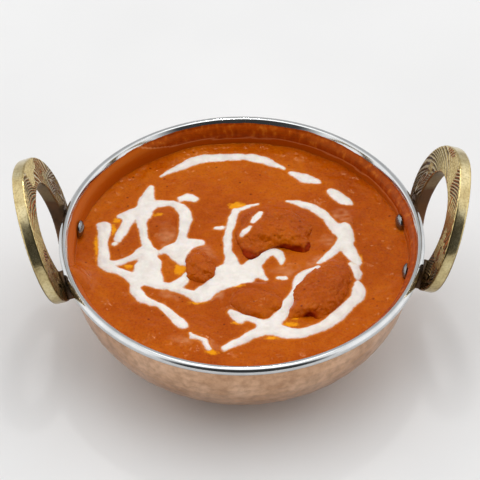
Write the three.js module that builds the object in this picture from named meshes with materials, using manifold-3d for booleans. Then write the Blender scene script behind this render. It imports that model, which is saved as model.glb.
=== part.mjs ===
// Butter chicken curry in its serving dish: a double-walled kadai of hammered copper over a
// polished steel liner with a rolled rim, and two cast brass loop handles riveted on.
// The dish stands on z = 0 with its axis on Z. The handles are at +X and -X.

import * as THREE from 'three';
import { mergeVertices } from 'three/addons/utils/BufferGeometryUtils.js';
import Module from 'manifold-3d';

const wasm = await Module();
wasm.setup();

// ---------------------------------------------------------------- driving dimensions, in mm

const TOUCH_GAP = 0.3;
const WELD_DISTANCE = 0.001;

// Copper shell: a flat base and a wall that rises steeply at the rim.
const BASE_RADIUS = 40;
const SHELL_HEIGHT = 45.9;
const SHELL_TOP_RADIUS = 70.6;
const WALL_CURVE = 3;
const COPPER_THICKNESS = 0.8;
const HAMMER_DEPTH = 0.22;
const HAMMER_MOST_OUT = 0.2;
const HAMMER_FIRST_ROW = 3;
const LATHE_SIDES = 48;
const HAMMER_ROWS = 8;
const WALL_ROWS = 5;
const WALL_FIRST_SHARE = 0.02;
const WALL_ROW_CROWDING = 1.25;

// Steel liner with its rolled rim.
const STEEL_THICKNESS = 0.7;
const RIM_HEIGHT = 50;
const RIM_ROLL_RADIUS = 1.9;
const RIM_ROLL_CENTRE = 73.1;
const RIM_ROLL_STEPS = 5;
const FLARE_HEIGHT = 44;
const FLARE_INSET = 3.3;

// Brass handles: a leaning egg-shaped loop that is open between its two feet. Heights are
// measured along the lean, up and down from HANDLE_FOOT_Z. Each foot has a ledge toward the dish,
// whose sloping top runs from one loop's ledgeTop to the other's.
const HANDLE_LEAN = THREE.MathUtils.degToRad(19);
const HANDLE_FOOT_X = 72.5;
const HANDLE_FOOT_Z = 45.8;
const HANDLE_THICKNESS = 5.2;
const WAIST_HEIGHT = 10.5;
const OUTER_LOOP = {
  halfWidth: 32.2,
  rise: 33.8,
  drop: 22.6,
  roundAbove: 1.76,
  roundBelow: 2.3,
  ledgeTop: -5,
};
const INNER_LOOP = {
  halfWidth: 19,
  rise: 20,
  drop: 17,
  roundAbove: 2.3,
  roundBelow: 2.2,
  ledgeTop: 6.5,
};
const FOOT_INNER_EDGE = 8;
const LEDGE_REACH = 12;
const LEDGE_ROOT = 1;
const ROOM_TOP = 60;
const EDGE_BEVEL = 0.5;

// Rivets: one through each foot, with a domed head inside the dish.
const RIGHT_RIVET_Z = 41;
const LEFT_RIVET_Z = 43;
const RIVET_SIDE = 14.5;
const RIVET_HEAD_RADIUS = 3.6;
const RIVET_HEAD_HEIGHT = 2;
const RIVET_SHANK_RADIUS = 1.6;
const RIVET_SHANK_DEPTH = 5;
const RIVET_HOLE_START = -1.5;
const RIVET_SIDES = 12;
const RIVET_HEAD_STEPS = 4;

// Curry: the level it stands at, and how far it clings up the wall.
const SAUCE_LEVEL = 38.6;
const MENISCUS_HEIGHT = 0.9;
const MENISCUS_WIDTH = 5;
const CURRY_SIDES = 44;
const SURFACE_RINGS = [54, 46, 36, 26, 14, 0];
const CLEAR_OF_LEVEL = 3;
const CREAM_HEIGHT = 0.9;
const CREAM_ROOT = 1.6;
const CREAM_STEP = 5.7;
const CREAM_FOOT = 1.15;
const CREAM_CREST = 0.75;
const CREAM_TIP = 0.35;

// Soft waves in the sauce and in the chicken's surface.
const LONG_WAVE = { height: 0.22, x: 7.5, y: 6.4, start: 1.2 };
const SHORT_WAVE = { height: 0.15, x: 3.9, y: 5.2 };
const CHICKEN_SWELL = 0.085;
const CHICKEN_LIFT = 0.05;
const CHICKEN_BLUNTNESS = 0.88;
const CHICKEN_ROOM = 0.4;

// Low mounds in the sauce, where meat lies just under it: place, reach and height.
const MOUNDS = [
  { x: -36, y: -41, reach: 7, height: 1.1 },
  { x: -19, y: -45, reach: 8, height: 1.2 },
  { x: 37, y: 39, reach: 7, height: 0.9 },
  { x: 48, y: 19, reach: 6, height: 0.8 },
  { x: -30, y: 20, reach: 8, height: 0.7 },
  { x: 12, y: -55, reach: 9, height: 0.7 },
  { x: -64, y: -17, reach: 13, height: 1.6 },
  { x: -58, y: 6, reach: 13, height: 0.6 },
];

// Pieces of chicken that stand out of the sauce: centre, half sizes, turn about Z, seed and
// fineness. A lobe is a torn end or a notch: its direction, how far it goes, how narrow it is.
const CHICKEN = [
  {
    name: 'chicken_1',
    x: 13.5,
    y: 13.5,
    z: 37.6,
    half: [16, 12, 6.8],
    turn: 0.06,
    seed: 1,
    detail: 5,
    lobes: [
      { toward: [-0.46, -0.88, 0.1], push: 6.4, tightness: 14 },
      { toward: [0.5, -0.86, 0], push: 2.6, tightness: 16 },
      { toward: [0.02, -0.99, 0.1], push: -2.6, tightness: 30 },
    ],
  },
  {
    name: 'chicken_2',
    x: 31.5,
    y: -22.5,
    z: 37,
    half: [17.6, 10.2, 5.9],
    turn: 0.98,
    seed: 2,
    detail: 3,
    lobes: [
      { toward: [-0.9, 0.4, 0.1], push: 2.2, tightness: 14 },
      { toward: [-0.92, -0.3, 0.25], push: -2, tightness: 26 },
    ],
  },
  {
    name: 'chicken_3',
    x: -17.3,
    y: -6,
    z: 36.6,
    half: [7, 9, 5.4],
    turn: 0.2,
    seed: 3,
    detail: 2,
    lobes: [],
  },
  {
    name: 'chicken_4',
    x: 4.6,
    y: -27,
    z: 36.4,
    half: [11.4, 9.2, 5.2],
    turn: -0.2,
    seed: 4,
    detail: 2,
    lobes: [],
  },
];

// The drizzle of cream: each stroke's width and the points that its centre line runs through.
const CREAM = [
  { width: 3.4, path: [[-33, 49], [-20, 58], [-2, 61.5], [12, 59.5], [19, 55]] },
  { width: 4.4, path: [[24, 49], [29, 46], [34, 42]] },
  { width: 4.6, path: [[39, 38], [43, 34], [47, 30]] },
  { width: 4.6, path: [[-37, 43], [-39, 36], [-40, 29]] },
  { width: 3.8, path: [[-51, 22], [-40, 30], [-28, 32], [-22.5, 23], [-24, 11], [-16, 8]] },
  { width: 4.2, path: [[-40, 30], [-39, 18], [-38, 2]] },
  { width: 4, path: [[-57, 21], [-56, 10], [-57, -4]] },
  { width: 2.6, path: [[-45, 23], [-48, 16], [-53, 9]] },
  { width: 4, path: [[-58, -4], [-48, -9], [-43, -21], [-33, -29], [-26, -40]] },
  { width: 2.2, path: [[-54, -3], [-46, 2], [-38, 5]] },
  { width: 5.4, path: [[-44, -5], [-36, -2], [-30, 6], [-20, 6]] },
  { width: 5, path: [[-45, -9], [-36, -13], [-25, -17], [-17, -19], [-9, -13]] },
  { width: 8.4, path: [[-11, -10], [-3, -8], [7, -10]] },
  { width: 3, path: [[2, 30], [-3.5, 25], [-4.5, 14], [-4, -6]] },
  { width: 3, path: [[4, -2.5], [11, 0], [17, -3]] },
  { width: 3.2, path: [[18, 30], [29, 27], [36, 17], [43, 10]] },
  { width: 5.2, path: [[43, 11], [44, 2], [47, -8], [48, -18]] },
  { width: 4.2, path: [[48, -19], [44, -30], [33, -41], [19, -45], [7, -43]] },
  { width: 3.2, path: [[7, -43], [-2, -48], [-11, -53]] },
  { width: 3, path: [[44, 5], [36, 0], [30, -6]] },
  { width: 3.4, path: [[29, -10], [21, -17], [17, -29], [9, -39]] },
  { width: 3, path: [[8, -40], [1, -36.5], [-6, -33]] },
  { width: 3.6, path: [[-25, 35], [-19, 36.5]] },
];

// ---------------------------------------------------------------- solids and their helpers

/** The same draw for the same pair of whole numbers, from 0 to 1. */
function draw(first, second) {
  const wave = Math.sin(first * 12.9898 + second * 78.233) * 43758.5453;
  return wave - Math.floor(wave);
}

/** A closed mesh with shared vertices merged and the flat triangles at a pole dropped. */
function weld(geometry) {
  const bare = geometry.clone();
  bare.deleteAttribute('normal');
  bare.deleteAttribute('uv');
  const welded = mergeVertices(bare, WELD_DISTANCE);
  const corners = welded.index.array;
  const kept = [];
  for (let i = 0; i < corners.length; i += 3) {
    const [a, b, c] = [corners[i], corners[i + 1], corners[i + 2]];
    if (a !== b && b !== c && c !== a) kept.push(a, b, c);
  }
  welded.setIndex(kept);
  return welded;
}

function toSolid(geometry) {
  const welded = weld(geometry);
  return new wasm.Manifold(new wasm.Mesh({
    numProp: 3,
    vertProperties: new Float32Array(welded.attributes.position.array),
    triVerts: new Uint32Array(welded.index.array),
  }));
}

function toGeometry(solid) {
  const mesh = solid.getMesh();
  const geometry = new THREE.BufferGeometry();
  const positions = new Float32Array(mesh.vertProperties);
  geometry.setAttribute('position', new THREE.BufferAttribute(positions, 3));
  geometry.setIndex(new THREE.BufferAttribute(new Uint32Array(mesh.triVerts), 1));
  geometry.computeVertexNormals();
  return geometry;
}

/** The biggest of a solid's separate bodies: a cut can leave a loose scrap behind. */
function largestBody(solid) {
  const bodies = solid.decompose();
  return bodies.reduce((best, body) => (body.volume() > best.volume() ? body : best));
}

/** A turned form about the Z axis from a profile of (radius, height) points. */
function turned(profile, sides) {
  return new THREE.LatheGeometry(profile, sides).rotateX(Math.PI / 2);
}

function namedMesh(name, geometry, material) {
  const mesh = new THREE.Mesh(geometry, material);
  mesh.name = name;
  return mesh;
}

// ---------------------------------------------------------------- the wall that both skins share

/** A point of the dish's wall, at a share of its height and a depth under the copper's face. */
function wallPoint(share, depth) {
  const rise = 1 - share;
  const spread = SHELL_TOP_RADIUS - BASE_RADIUS;
  const radius = BASE_RADIUS + spread * (1 - rise ** WALL_CURVE);
  const height = SHELL_HEIGHT * share;
  const slope = (spread * WALL_CURVE * rise ** (WALL_CURVE - 1)) / SHELL_HEIGHT;
  const length = Math.hypot(1, slope);
  return new THREE.Vector2(radius - depth / length, height + (depth * slope) / length);
}

/** The wall from the base to the top in a number of rows, at a depth under the copper's face. */
function wallRows(depth, rows, topHeight = SHELL_HEIGHT) {
  const points = [];
  for (let row = 0; row <= rows; row += 1) {
    const climb = (row / rows) ** WALL_ROW_CROWDING;
    const share = WALL_FIRST_SHARE + (1 - WALL_FIRST_SHARE) * climb;
    const point = wallPoint(share, depth);
    point.y = Math.min(Math.max(point.y, depth), topHeight);
    points.push(point);
  }
  return points;
}

/** The radius of the liner's inside at a height, less a gap. */
function insideRadius(height, gap = 0) {
  const depth = COPPER_THICKNESS + TOUCH_GAP + STEEL_THICKNESS + gap;
  let low = 0;
  let high = 1;
  for (let step = 0; step < 30; step += 1) {
    const middle = (low + high) / 2;
    if (wallPoint(middle, depth).y < height) low = middle;
    else high = middle;
  }
  return wallPoint(low, depth).x;
}

// ---------------------------------------------------------------- copper shell

function copperShell() {
  const outside = [new THREE.Vector2(0, 0), new THREE.Vector2(BASE_RADIUS, 0)];
  for (const point of wallRows(0, HAMMER_ROWS)) outside.push(point);
  const inside = wallRows(COPPER_THICKNESS, WALL_ROWS).reverse();
  const profile = [...outside, ...inside, new THREE.Vector2(0, COPPER_THICKNESS)];
  const geometry = turned(profile, LATHE_SIDES);
  hammer(geometry, profile.length);
  return geometry;
}

/** Soft flats of the planishing hammer: each wall vertex goes in or out by its own small draw. */
function hammer(geometry, rowCount) {
  const position = geometry.attributes.position;
  const lastRow = HAMMER_ROWS + 1;
  for (let side = 0; side <= LATHE_SIDES; side += 1) {
    for (let row = HAMMER_FIRST_ROW; row <= lastRow; row += 1) {
      const vertex = side * rowCount + row;
      const shift = HAMMER_DEPTH * (HAMMER_MOST_OUT - draw(side % LATHE_SIDES, row));
      const radius = Math.hypot(position.getX(vertex), position.getY(vertex));
      const scale = (radius + shift) / radius;
      position.setX(vertex, position.getX(vertex) * scale);
      position.setY(vertex, position.getY(vertex) * scale);
    }
  }
}

// ---------------------------------------------------------------- steel liner

function steelLiner() {
  const outerDepth = COPPER_THICKNESS + TOUCH_GAP;
  const innerDepth = outerDepth + STEEL_THICKNESS;
  const rollHeight = RIM_HEIGHT - RIM_ROLL_RADIUS;
  const ledgeHeight = rollHeight - RIM_ROLL_RADIUS;
  const inside = wallRows(innerDepth, WALL_ROWS, FLARE_HEIGHT);
  const flare = new THREE.Vector2(RIM_ROLL_CENTRE - FLARE_INSET, ledgeHeight);
  const profile = [new THREE.Vector2(0, innerDepth), ...inside, flare];
  for (let step = 0; step <= RIM_ROLL_STEPS; step += 1) {
    const angle = Math.PI - (step / RIM_ROLL_STEPS) * 1.5 * Math.PI;
    profile.push(new THREE.Vector2(
      RIM_ROLL_CENTRE + RIM_ROLL_RADIUS * Math.cos(angle),
      rollHeight + RIM_ROLL_RADIUS * Math.sin(angle),
    ));
  }
  const outside = wallRows(outerDepth, WALL_ROWS, ledgeHeight).reverse();
  outside[0].y = ledgeHeight;
  profile.push(...outside, new THREE.Vector2(0, outerDepth));
  return turned(profile.reverse(), LATHE_SIDES);
}

// ---------------------------------------------------------------- rivets

/** A rivet's outline from the tip of its head to the end of its shank, with room round it. */
function rivetProfile(room, headHeight) {
  const profile = [];
  if (headHeight > 0) {
    for (let step = 0; step <= RIVET_HEAD_STEPS; step += 1) {
      const angle = (step / RIVET_HEAD_STEPS) * (Math.PI / 2);
      profile.push(new THREE.Vector2(
        (RIVET_HEAD_RADIUS + room) * Math.sin(angle),
        -TOUCH_GAP - (headHeight + room) * Math.cos(angle),
      ));
    }
    profile.push(new THREE.Vector2(RIVET_HEAD_RADIUS + room, -TOUCH_GAP + room));
    profile.push(new THREE.Vector2(RIVET_SHANK_RADIUS + room, -TOUCH_GAP + room));
  } else {
    profile.push(new THREE.Vector2(0, RIVET_HOLE_START));
    profile.push(new THREE.Vector2(RIVET_SHANK_RADIUS + room, RIVET_HOLE_START));
  }
  profile.push(new THREE.Vector2(RIVET_SHANK_RADIUS + room, RIVET_SHANK_DEPTH + room));
  profile.push(new THREE.Vector2(0, RIVET_SHANK_DEPTH + room));
  return profile;
}

/** The rivet, or the hole for it, on one side of the dish (side +1 or -1) and one of its feet. */
function rivetForm({ side, foot }, room = 0, headHeight = RIVET_HEAD_HEIGHT) {
  const height = side > 0 ? RIGHT_RIVET_Z : LEFT_RIVET_Z;
  const wallRadius = insideRadius(height) * Math.cos(Math.PI / LATHE_SIDES);
  const angle = foot * Math.asin(RIVET_SIDE / wallRadius) + (side < 0 ? Math.PI : 0);
  return new THREE.LatheGeometry(rivetProfile(room, headHeight), RIVET_SIDES)
    .rotateZ(-Math.PI / 2)
    .translate(wallRadius, 0, height)
    .rotateZ(angle);
}

const RIVET_PLACES = [
  { name: 'rivet_right_near', side: 1, foot: -1 },
  { name: 'rivet_right_far', side: 1, foot: 1 },
  { name: 'rivet_left_near', side: -1, foot: 1 },
  { name: 'rivet_left_far', side: -1, foot: -1 },
];

/** A solid less the holes for the four rivets' shanks. */
function drilled(solid) {
  let result = solid;
  for (const place of RIVET_PLACES) {
    result = result.subtract(toSolid(rivetForm(place, TOUCH_GAP, 0)));
  }
  return result;
}

// ---------------------------------------------------------------- handles

/** Points of a loop, rounder or squarer above its waist than below, between two angles. */
function loopCurve(loop, start, end, steps) {
  const points = [];
  for (let step = 0; step <= steps; step += 1) {
    const angle = start + ((end - start) * step) / steps;
    const across = Math.cos(angle);
    const up = Math.sin(angle);
    const power = 2 / (up > 0 ? loop.roundAbove : loop.roundBelow);
    points.push(new THREE.Vector2(
      Math.sign(across) * Math.abs(across) ** power * loop.halfWidth,
      WAIST_HEIGHT + Math.sign(up) * Math.abs(up) ** power * (up > 0 ? loop.rise : loop.drop),
    ));
  }
  return points;
}

/** How far below the waist a loop's curve has come in to the inner edge of a foot. */
function footAngle(loop) {
  return Math.acos((FOOT_INNER_EDGE / loop.halfWidth) ** (loop.roundBelow / 2));
}

/** How far below the waist a loop's curve meets the ledge's top. */
function ledgeAngle(loop) {
  return Math.asin(((WAIST_HEIGHT - loop.ledgeTop) / loop.drop) ** (loop.roundBelow / 2));
}

/** A loop grown by a distance all round. */
function grownLoop(loop, distance) {
  return {
    ...loop,
    halfWidth: loop.halfWidth + distance,
    rise: loop.rise + distance,
    drop: loop.drop + distance,
  };
}

function loopShape() {
  const outerFoot = footAngle(OUTER_LOOP);
  const innerFoot = footAngle(INNER_LOOP);
  const outer = loopCurve(OUTER_LOOP, -outerFoot, Math.PI + outerFoot, 32);
  const inner = loopCurve(INNER_LOOP, Math.PI + innerFoot, -innerFoot, 26);
  return new THREE.Shape([...outer, ...inner]);
}

/** The outline of one foot's ledge: out along the loop's edge and back along its hole. */
function ledgeShape(foot) {
  const edge = grownLoop(OUTER_LOOP, -EDGE_BEVEL);
  const hole = grownLoop(INNER_LOOP, EDGE_BEVEL);
  const outer = loopCurve(edge, -footAngle(edge), -ledgeAngle(edge), 8);
  const inner = loopCurve(hole, -ledgeAngle(hole), -footAngle(hole), 5);
  const points = [...outer, ...inner];
  if (foot > 0) return new THREE.Shape(points);
  for (const point of points) point.x *= -1;
  return new THREE.Shape(points.reverse());
}

/** One handle on the +X side, before it is cut to the dish. */
function handleBlank() {
  const upright = new THREE.Matrix4().makeBasis(
    new THREE.Vector3(0, 1, 0),
    new THREE.Vector3(0, 0, 1),
    new THREE.Vector3(1, 0, 0),
  );
  const leaning = new THREE.Matrix4().makeRotationY(HANDLE_LEAN).multiply(upright);
  leaning.setPosition(HANDLE_FOOT_X, 0, HANDLE_FOOT_Z);
  const loop = new THREE.ExtrudeGeometry(loopShape(), {
    depth: HANDLE_THICKNESS - 2 * EDGE_BEVEL,
    bevelSegments: 1,
    bevelThickness: EDGE_BEVEL,
    bevelSize: EDGE_BEVEL,
    bevelOffset: -EDGE_BEVEL,
  });
  let blank = toSolid(loop.translate(0, 0, EDGE_BEVEL).applyMatrix4(leaning));
  for (const foot of [1, -1]) {
    const ledge = new THREE.ExtrudeGeometry(ledgeShape(foot), {
      depth: LEDGE_REACH + LEDGE_ROOT,
      bevelEnabled: false,
    });
    blank = blank.add(toSolid(ledge.translate(0, 0, -LEDGE_REACH).applyMatrix4(leaning)));
  }
  return blank;
}

/** The room that a handle leaves for the copper wall, for the rolled rim and over the rim. */
function dishRoom() {
  const rollHeight = RIM_HEIGHT - RIM_ROLL_RADIUS;
  const rollOutside = RIM_ROLL_CENTRE + RIM_ROLL_RADIUS + TOUCH_GAP;
  const profile = [
    new THREE.Vector2(0, -1),
    new THREE.Vector2(BASE_RADIUS, -1),
    ...wallRows(-TOUCH_GAP, HAMMER_ROWS),
    new THREE.Vector2(RIM_ROLL_CENTRE, SHELL_HEIGHT),
    new THREE.Vector2(RIM_ROLL_CENTRE, rollHeight),
    new THREE.Vector2(rollOutside, rollHeight),
    new THREE.Vector2(rollOutside, ROOM_TOP),
    new THREE.Vector2(0, ROOM_TOP),
  ];
  const rim = new THREE.TorusGeometry(
    RIM_ROLL_CENTRE,
    RIM_ROLL_RADIUS + TOUCH_GAP,
    12,
    LATHE_SIDES,
  );
  rim.translate(0, 0, rollHeight);
  return toSolid(turned(profile, LATHE_SIDES)).add(toSolid(rim));
}

// ---------------------------------------------------------------- chicken

/** A torn, flattened lump: a ball drawn out to its half sizes, with blunt faces and lobes. */
function chickenPiece({ x, y, z, half, turn, seed, detail, lobes }, room = 0) {
  const geometry = weld(new THREE.IcosahedronGeometry(1, detail));
  const position = geometry.attributes.position;
  const point = new THREE.Vector3();
  const sizes = new THREE.Vector3(...half).addScalar(room);
  for (let vertex = 0; vertex < position.count; vertex += 1) {
    point.fromBufferAttribute(position, vertex);
    const waves = chickenWaves(point, seed);
    const swell = 1 + CHICKEN_SWELL * waves;
    const lift = 1 + CHICKEN_LIFT * waves;
    point.set(blunt(point.x) * swell, blunt(point.y) * swell, blunt(point.z) * lift);
    point.multiply(sizes);
    const way = new THREE.Vector3().fromBufferAttribute(position, vertex);
    for (const { toward, push, tightness } of lobes) {
      const lobe = new THREE.Vector3(...toward).normalize();
      point.addScaledVector(lobe, push * Math.exp(tightness * (lobe.dot(way) - 1)));
    }
    position.setXYZ(vertex, point.x, point.y, point.z);
  }
  return geometry.rotateZ(turn).translate(x, y, z);
}

/** The swellings and hollows of torn meat over a unit ball, a different set for each seed. */
function chickenWaves({ x, y }, seed) {
  const long = Math.sin(4.1 * x + 2 * seed) * Math.sin(3.3 * y + seed);
  const short = Math.sin(6.7 * y - 1.7 * seed + 3 * x);
  return long + 0.6 * short;
}

/** Draws a ball's coordinate out towards a box, so that its faces are blunter than a ball's. */
function blunt(value) {
  return Math.sign(value) * Math.abs(value) ** CHICKEN_BLUNTNESS;
}

// ---------------------------------------------------------------- curry and cream

/** The height of the sauce: its level, soft waves, the mounds, and where it clings to the wall. */
function sauceHeight(x, y) {
  const longWave = Math.sin(x / LONG_WAVE.x + LONG_WAVE.start) * Math.sin(y / LONG_WAVE.y);
  const shortWave = Math.sin(x / SHORT_WAVE.x - y / SHORT_WAVE.y);
  let height = SAUCE_LEVEL + LONG_WAVE.height * longWave + SHORT_WAVE.height * shortWave;
  for (const mound of MOUNDS) {
    const distance = ((x - mound.x) ** 2 + (y - mound.y) ** 2) / mound.reach ** 2;
    height += mound.height * Math.exp(-distance);
  }
  const edge = insideRadius(SAUCE_LEVEL, TOUCH_GAP) - Math.hypot(x, y);
  return height + MENISCUS_HEIGHT * Math.exp(-edge / MENISCUS_WIDTH);
}

function sauceBody() {
  const depth = COPPER_THICKNESS + STEEL_THICKNESS + 2 * TOUCH_GAP;
  const profile = [new THREE.Vector2(0, depth)];
  for (const point of wallRows(depth, WALL_ROWS)) {
    if (point.y < SAUCE_LEVEL - CLEAR_OF_LEVEL) profile.push(point);
  }
  const edge = insideRadius(SAUCE_LEVEL, TOUCH_GAP);
  const firstTopRow = profile.length;
  for (const inset of [0, 2, 6]) profile.push(new THREE.Vector2(edge - inset, SAUCE_LEVEL));
  for (const radius of SURFACE_RINGS) profile.push(new THREE.Vector2(radius, SAUCE_LEVEL));
  const geometry = turned(profile, CURRY_SIDES);
  const position = geometry.attributes.position;
  for (let vertex = 0; vertex < position.count; vertex += 1) {
    if (vertex % profile.length < firstTopRow) continue;
    position.setZ(vertex, sauceHeight(position.getX(vertex), position.getY(vertex)));
  }
  return geometry;
}

/** A stroke of cream: a low rounded section carried along its centre line, narrowing at its ends. */
function creamStroke({ width, path }) {
  const curve = new THREE.CatmullRomCurve3(path.map(([x, y]) => new THREE.Vector3(x, y, 0)));
  const length = curve.getLength();
  const stations = Math.max(3, Math.ceil(length / CREAM_STEP));
  const crest = CREAM_HEIGHT * (0.85 + 0.3 * draw(path[0][0], path[0][1]));
  const section = [
    [-CREAM_FOOT, -CREAM_ROOT],
    [-CREAM_CREST, crest],
    [CREAM_CREST, crest],
    [CREAM_FOOT, -CREAM_ROOT],
  ];
  const corners = section.length;
  const positions = [];
  for (let station = 0; station <= stations; station += 1) {
    const share = station / stations;
    const centre = curve.getPointAt(share);
    const along = curve.getTangentAt(share);
    const fromEnd = Math.min(share, 1 - share) * length;
    const ending = Math.min(1, CREAM_TIP + fromEnd / width);
    const halfWidth = (width / 2) * ending * (1 + 0.1 * Math.sin(5 * station + width));
    for (const [side, up] of section) {
      const x = centre.x - along.y * side * halfWidth;
      const y = centre.y + along.x * side * halfWidth;
      positions.push(x, y, sauceHeight(x, y) + up);
    }
  }
  const triangles = [];
  for (let station = 0; station < stations; station += 1) {
    for (let corner = 0; corner < corners; corner += 1) {
      const a = station * corners + corner;
      const b = station * corners + ((corner + 1) % corners);
      triangles.push(a, a + corners, b, b, a + corners, b + corners);
    }
  }
  const last = stations * corners;
  for (let corner = 1; corner < corners - 1; corner += 1) {
    triangles.push(0, corner, corner + 1, last, last + corner + 1, last + corner);
  }
  const geometry = new THREE.BufferGeometry();
  geometry.setAttribute('position', new THREE.Float32BufferAttribute(positions, 3));
  geometry.setIndex(triangles);
  return geometry;
}

/** The sauce with its cream fused on, cut round the chicken and the heads of the rivets. */
function curry() {
  let solid = toSolid(sauceBody());
  for (const stroke of CREAM) solid = solid.add(toSolid(creamStroke(stroke)));
  for (const piece of CHICKEN) solid = solid.subtract(toSolid(chickenPiece(piece, CHICKEN_ROOM)));
  for (const place of RIVET_PLACES) solid = solid.subtract(toSolid(rivetForm(place, TOUCH_GAP)));
  return largestBody(toSolid(toGeometry(solid)));
}

// ---------------------------------------------------------------- finishes and the assembly

const copper = new THREE.MeshStandardMaterial({ color: '#b98a6c', metalness: 1, roughness: 0.34 });
const steel = new THREE.MeshStandardMaterial({ color: '#c9ccce', metalness: 1, roughness: 0.14 });
const brass = new THREE.MeshStandardMaterial({ color: '#a08a52', metalness: 1, roughness: 0.3 });
const sauce = new THREE.MeshStandardMaterial({ color: '#b9550f', metalness: 0, roughness: 0.3 });
const meat = new THREE.MeshStandardMaterial({ color: '#a9470f', metalness: 0, roughness: 0.42 });

const group = new THREE.Group();
group.add(namedMesh('copper_shell', toGeometry(drilled(toSolid(copperShell()))), copper));
group.add(namedMesh('steel_liner', toGeometry(drilled(toSolid(steelLiner()))), steel));

const handle = handleBlank().subtract(dishRoom());
for (const side of [1, -1]) {
  const name = side > 0 ? 'handle_right' : 'handle_left';
  const turnedHandle = toSolid(toGeometry(handle).rotateZ(side > 0 ? 0 : Math.PI));
  group.add(namedMesh(name, toGeometry(drilled(turnedHandle)), brass));
}

for (const place of RIVET_PLACES) {
  group.add(namedMesh(place.name, toGeometry(toSolid(rivetForm(place))), steel));
}

group.add(namedMesh('curry', toGeometry(curry()), sauce));
for (const piece of CHICKEN) {
  group.add(namedMesh(piece.name, chickenPiece(piece), meat));
}

export default group;
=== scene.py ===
# Butter chicken curry in its kadai: hammered copper over polished steel, with cast brass handles.
# The dish stands on z = 0 with its axis on Z and its handles at +X and -X. Sizes are in mm here
# and turned to metres when a mesh is made.

import math

import bmesh
import bpy
import numpy as np
from mathutils import Matrix, Vector
from mathutils.kdtree import KDTree


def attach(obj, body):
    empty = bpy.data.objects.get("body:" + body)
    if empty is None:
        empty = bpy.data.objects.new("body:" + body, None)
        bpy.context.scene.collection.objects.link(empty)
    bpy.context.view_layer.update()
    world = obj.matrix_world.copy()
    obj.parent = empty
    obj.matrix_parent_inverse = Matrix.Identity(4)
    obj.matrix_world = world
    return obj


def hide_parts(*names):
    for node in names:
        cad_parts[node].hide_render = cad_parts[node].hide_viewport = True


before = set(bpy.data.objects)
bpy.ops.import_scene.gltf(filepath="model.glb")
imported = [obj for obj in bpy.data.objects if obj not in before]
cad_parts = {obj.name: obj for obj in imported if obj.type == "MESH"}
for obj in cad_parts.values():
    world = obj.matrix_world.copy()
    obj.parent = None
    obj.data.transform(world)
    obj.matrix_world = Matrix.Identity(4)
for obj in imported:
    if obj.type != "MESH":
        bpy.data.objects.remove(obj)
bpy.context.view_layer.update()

MM = 0.001

# ---------------------------------------------------------------- camera

CAMERA_PLACE = (-30.8, -715.6, 747.8)
CAMERA_AIM = (0.0, 0.0, 50.0)
CAMERA_LENS = 183.2
CAMERA_SHIFT = (-0.0040, -0.0085)


def place_camera():
    camera = bpy.data.objects.new("camera", bpy.data.cameras.new("camera"))
    camera.data.lens = CAMERA_LENS
    camera.data.shift_x, camera.data.shift_y = CAMERA_SHIFT
    camera.data.clip_start, camera.data.clip_end = 0.01, 100
    place, aim = Vector(CAMERA_PLACE) * MM, Vector(CAMERA_AIM) * MM
    camera.location = place
    camera.rotation_mode = "QUATERNION"
    camera.rotation_quaternion = (aim - place).to_track_quat("-Z", "Y")
    bpy.context.scene.collection.objects.link(camera)
    bpy.context.scene.camera = camera


place_camera()

# ---------------------------------------------------------------- the dish's sizes

TOUCH_GAP = 0.3
BASE_RADIUS = 40
SHELL_HEIGHT = 45.9
SHELL_TOP_RADIUS = 70.6
WALL_CURVE = 3
COPPER_THICKNESS = 0.8
STEEL_THICKNESS = 0.7
RIM_HEIGHT = 50
RIM_ROLL_RADIUS = 1.9
RIM_ROLL_CENTRE = 73.1
FLARE_HEIGHT = 44
RIGHT_RIVET_Z = 41
LEFT_RIVET_Z = 43
RIVET_SIDE = 14.5
RIVET_HEAD_RADIUS = 3.6
RIVET_HEAD_HEIGHT = 2
RIVET_SHANK_RADIUS = 1.6
RIVET_SHANK_DEPTH = 5
RIVET_SEAT = 0.15
RIVET_SIDES = 40
SAUCE_LEVEL = 38.6
MENISCUS_HEIGHT = 0.9
MENISCUS_WIDTH = 5

# ---------------------------------------------------------------- numbers and noise

LATTICE_SIDE = 64
LATTICE = np.random.default_rng(11).uniform(-1, 1, (LATTICE_SIDE,) * 3)


def noise(points, size, seed=0):
    """Smooth noise from -1 to 1 whose swellings are about size mm across."""
    places = points / size + 13.7 * seed
    if places.shape[1] == 2:
        places = np.column_stack([places, np.full(len(places), 0.37 + seed)])
    cell = np.floor(places).astype(int)
    part = places - cell
    part = part * part * (3 - 2 * part)
    total = np.zeros(len(places))
    for corner in np.ndindex(2, 2, 2):
        weight = np.prod(np.where(corner, part, 1 - part), axis=1)
        at = (cell + corner) % LATTICE_SIDE
        total += weight * LATTICE[at[:, 0], at[:, 1], at[:, 2]]
    return total


def swells(points, rows):
    """Noises laid over each other, from rows of height, size and seed."""
    return sum(height * noise(points, size, seed) for height, size, seed in rows)


def step(low, high, value):
    """0 below low, 1 above high, and smooth between."""
    share = np.clip((value - low) / (high - low), 0, 1)
    return share * share * (3 - 2 * share)


# How far a point lies from cream or oil where there is none near.
NO_MARK = 9.0


def turned_places(plane, x, y, turn):
    """Places in a frame that stands at x and y and is turned."""
    aside, ahead = (plane - (x, y)).T
    cosine, sine = math.cos(turn), math.sin(turn)
    return aside * cosine + ahead * sine, ahead * cosine - aside * sine


def soft_min(first, second, reach):
    """The smaller of two distances, rounded where they meet within a reach."""
    share = np.clip(0.5 + 0.5 * (second - first) / reach, 0, 1)
    return second * (1 - share) + first * share - reach * share * (1 - share)


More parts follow.
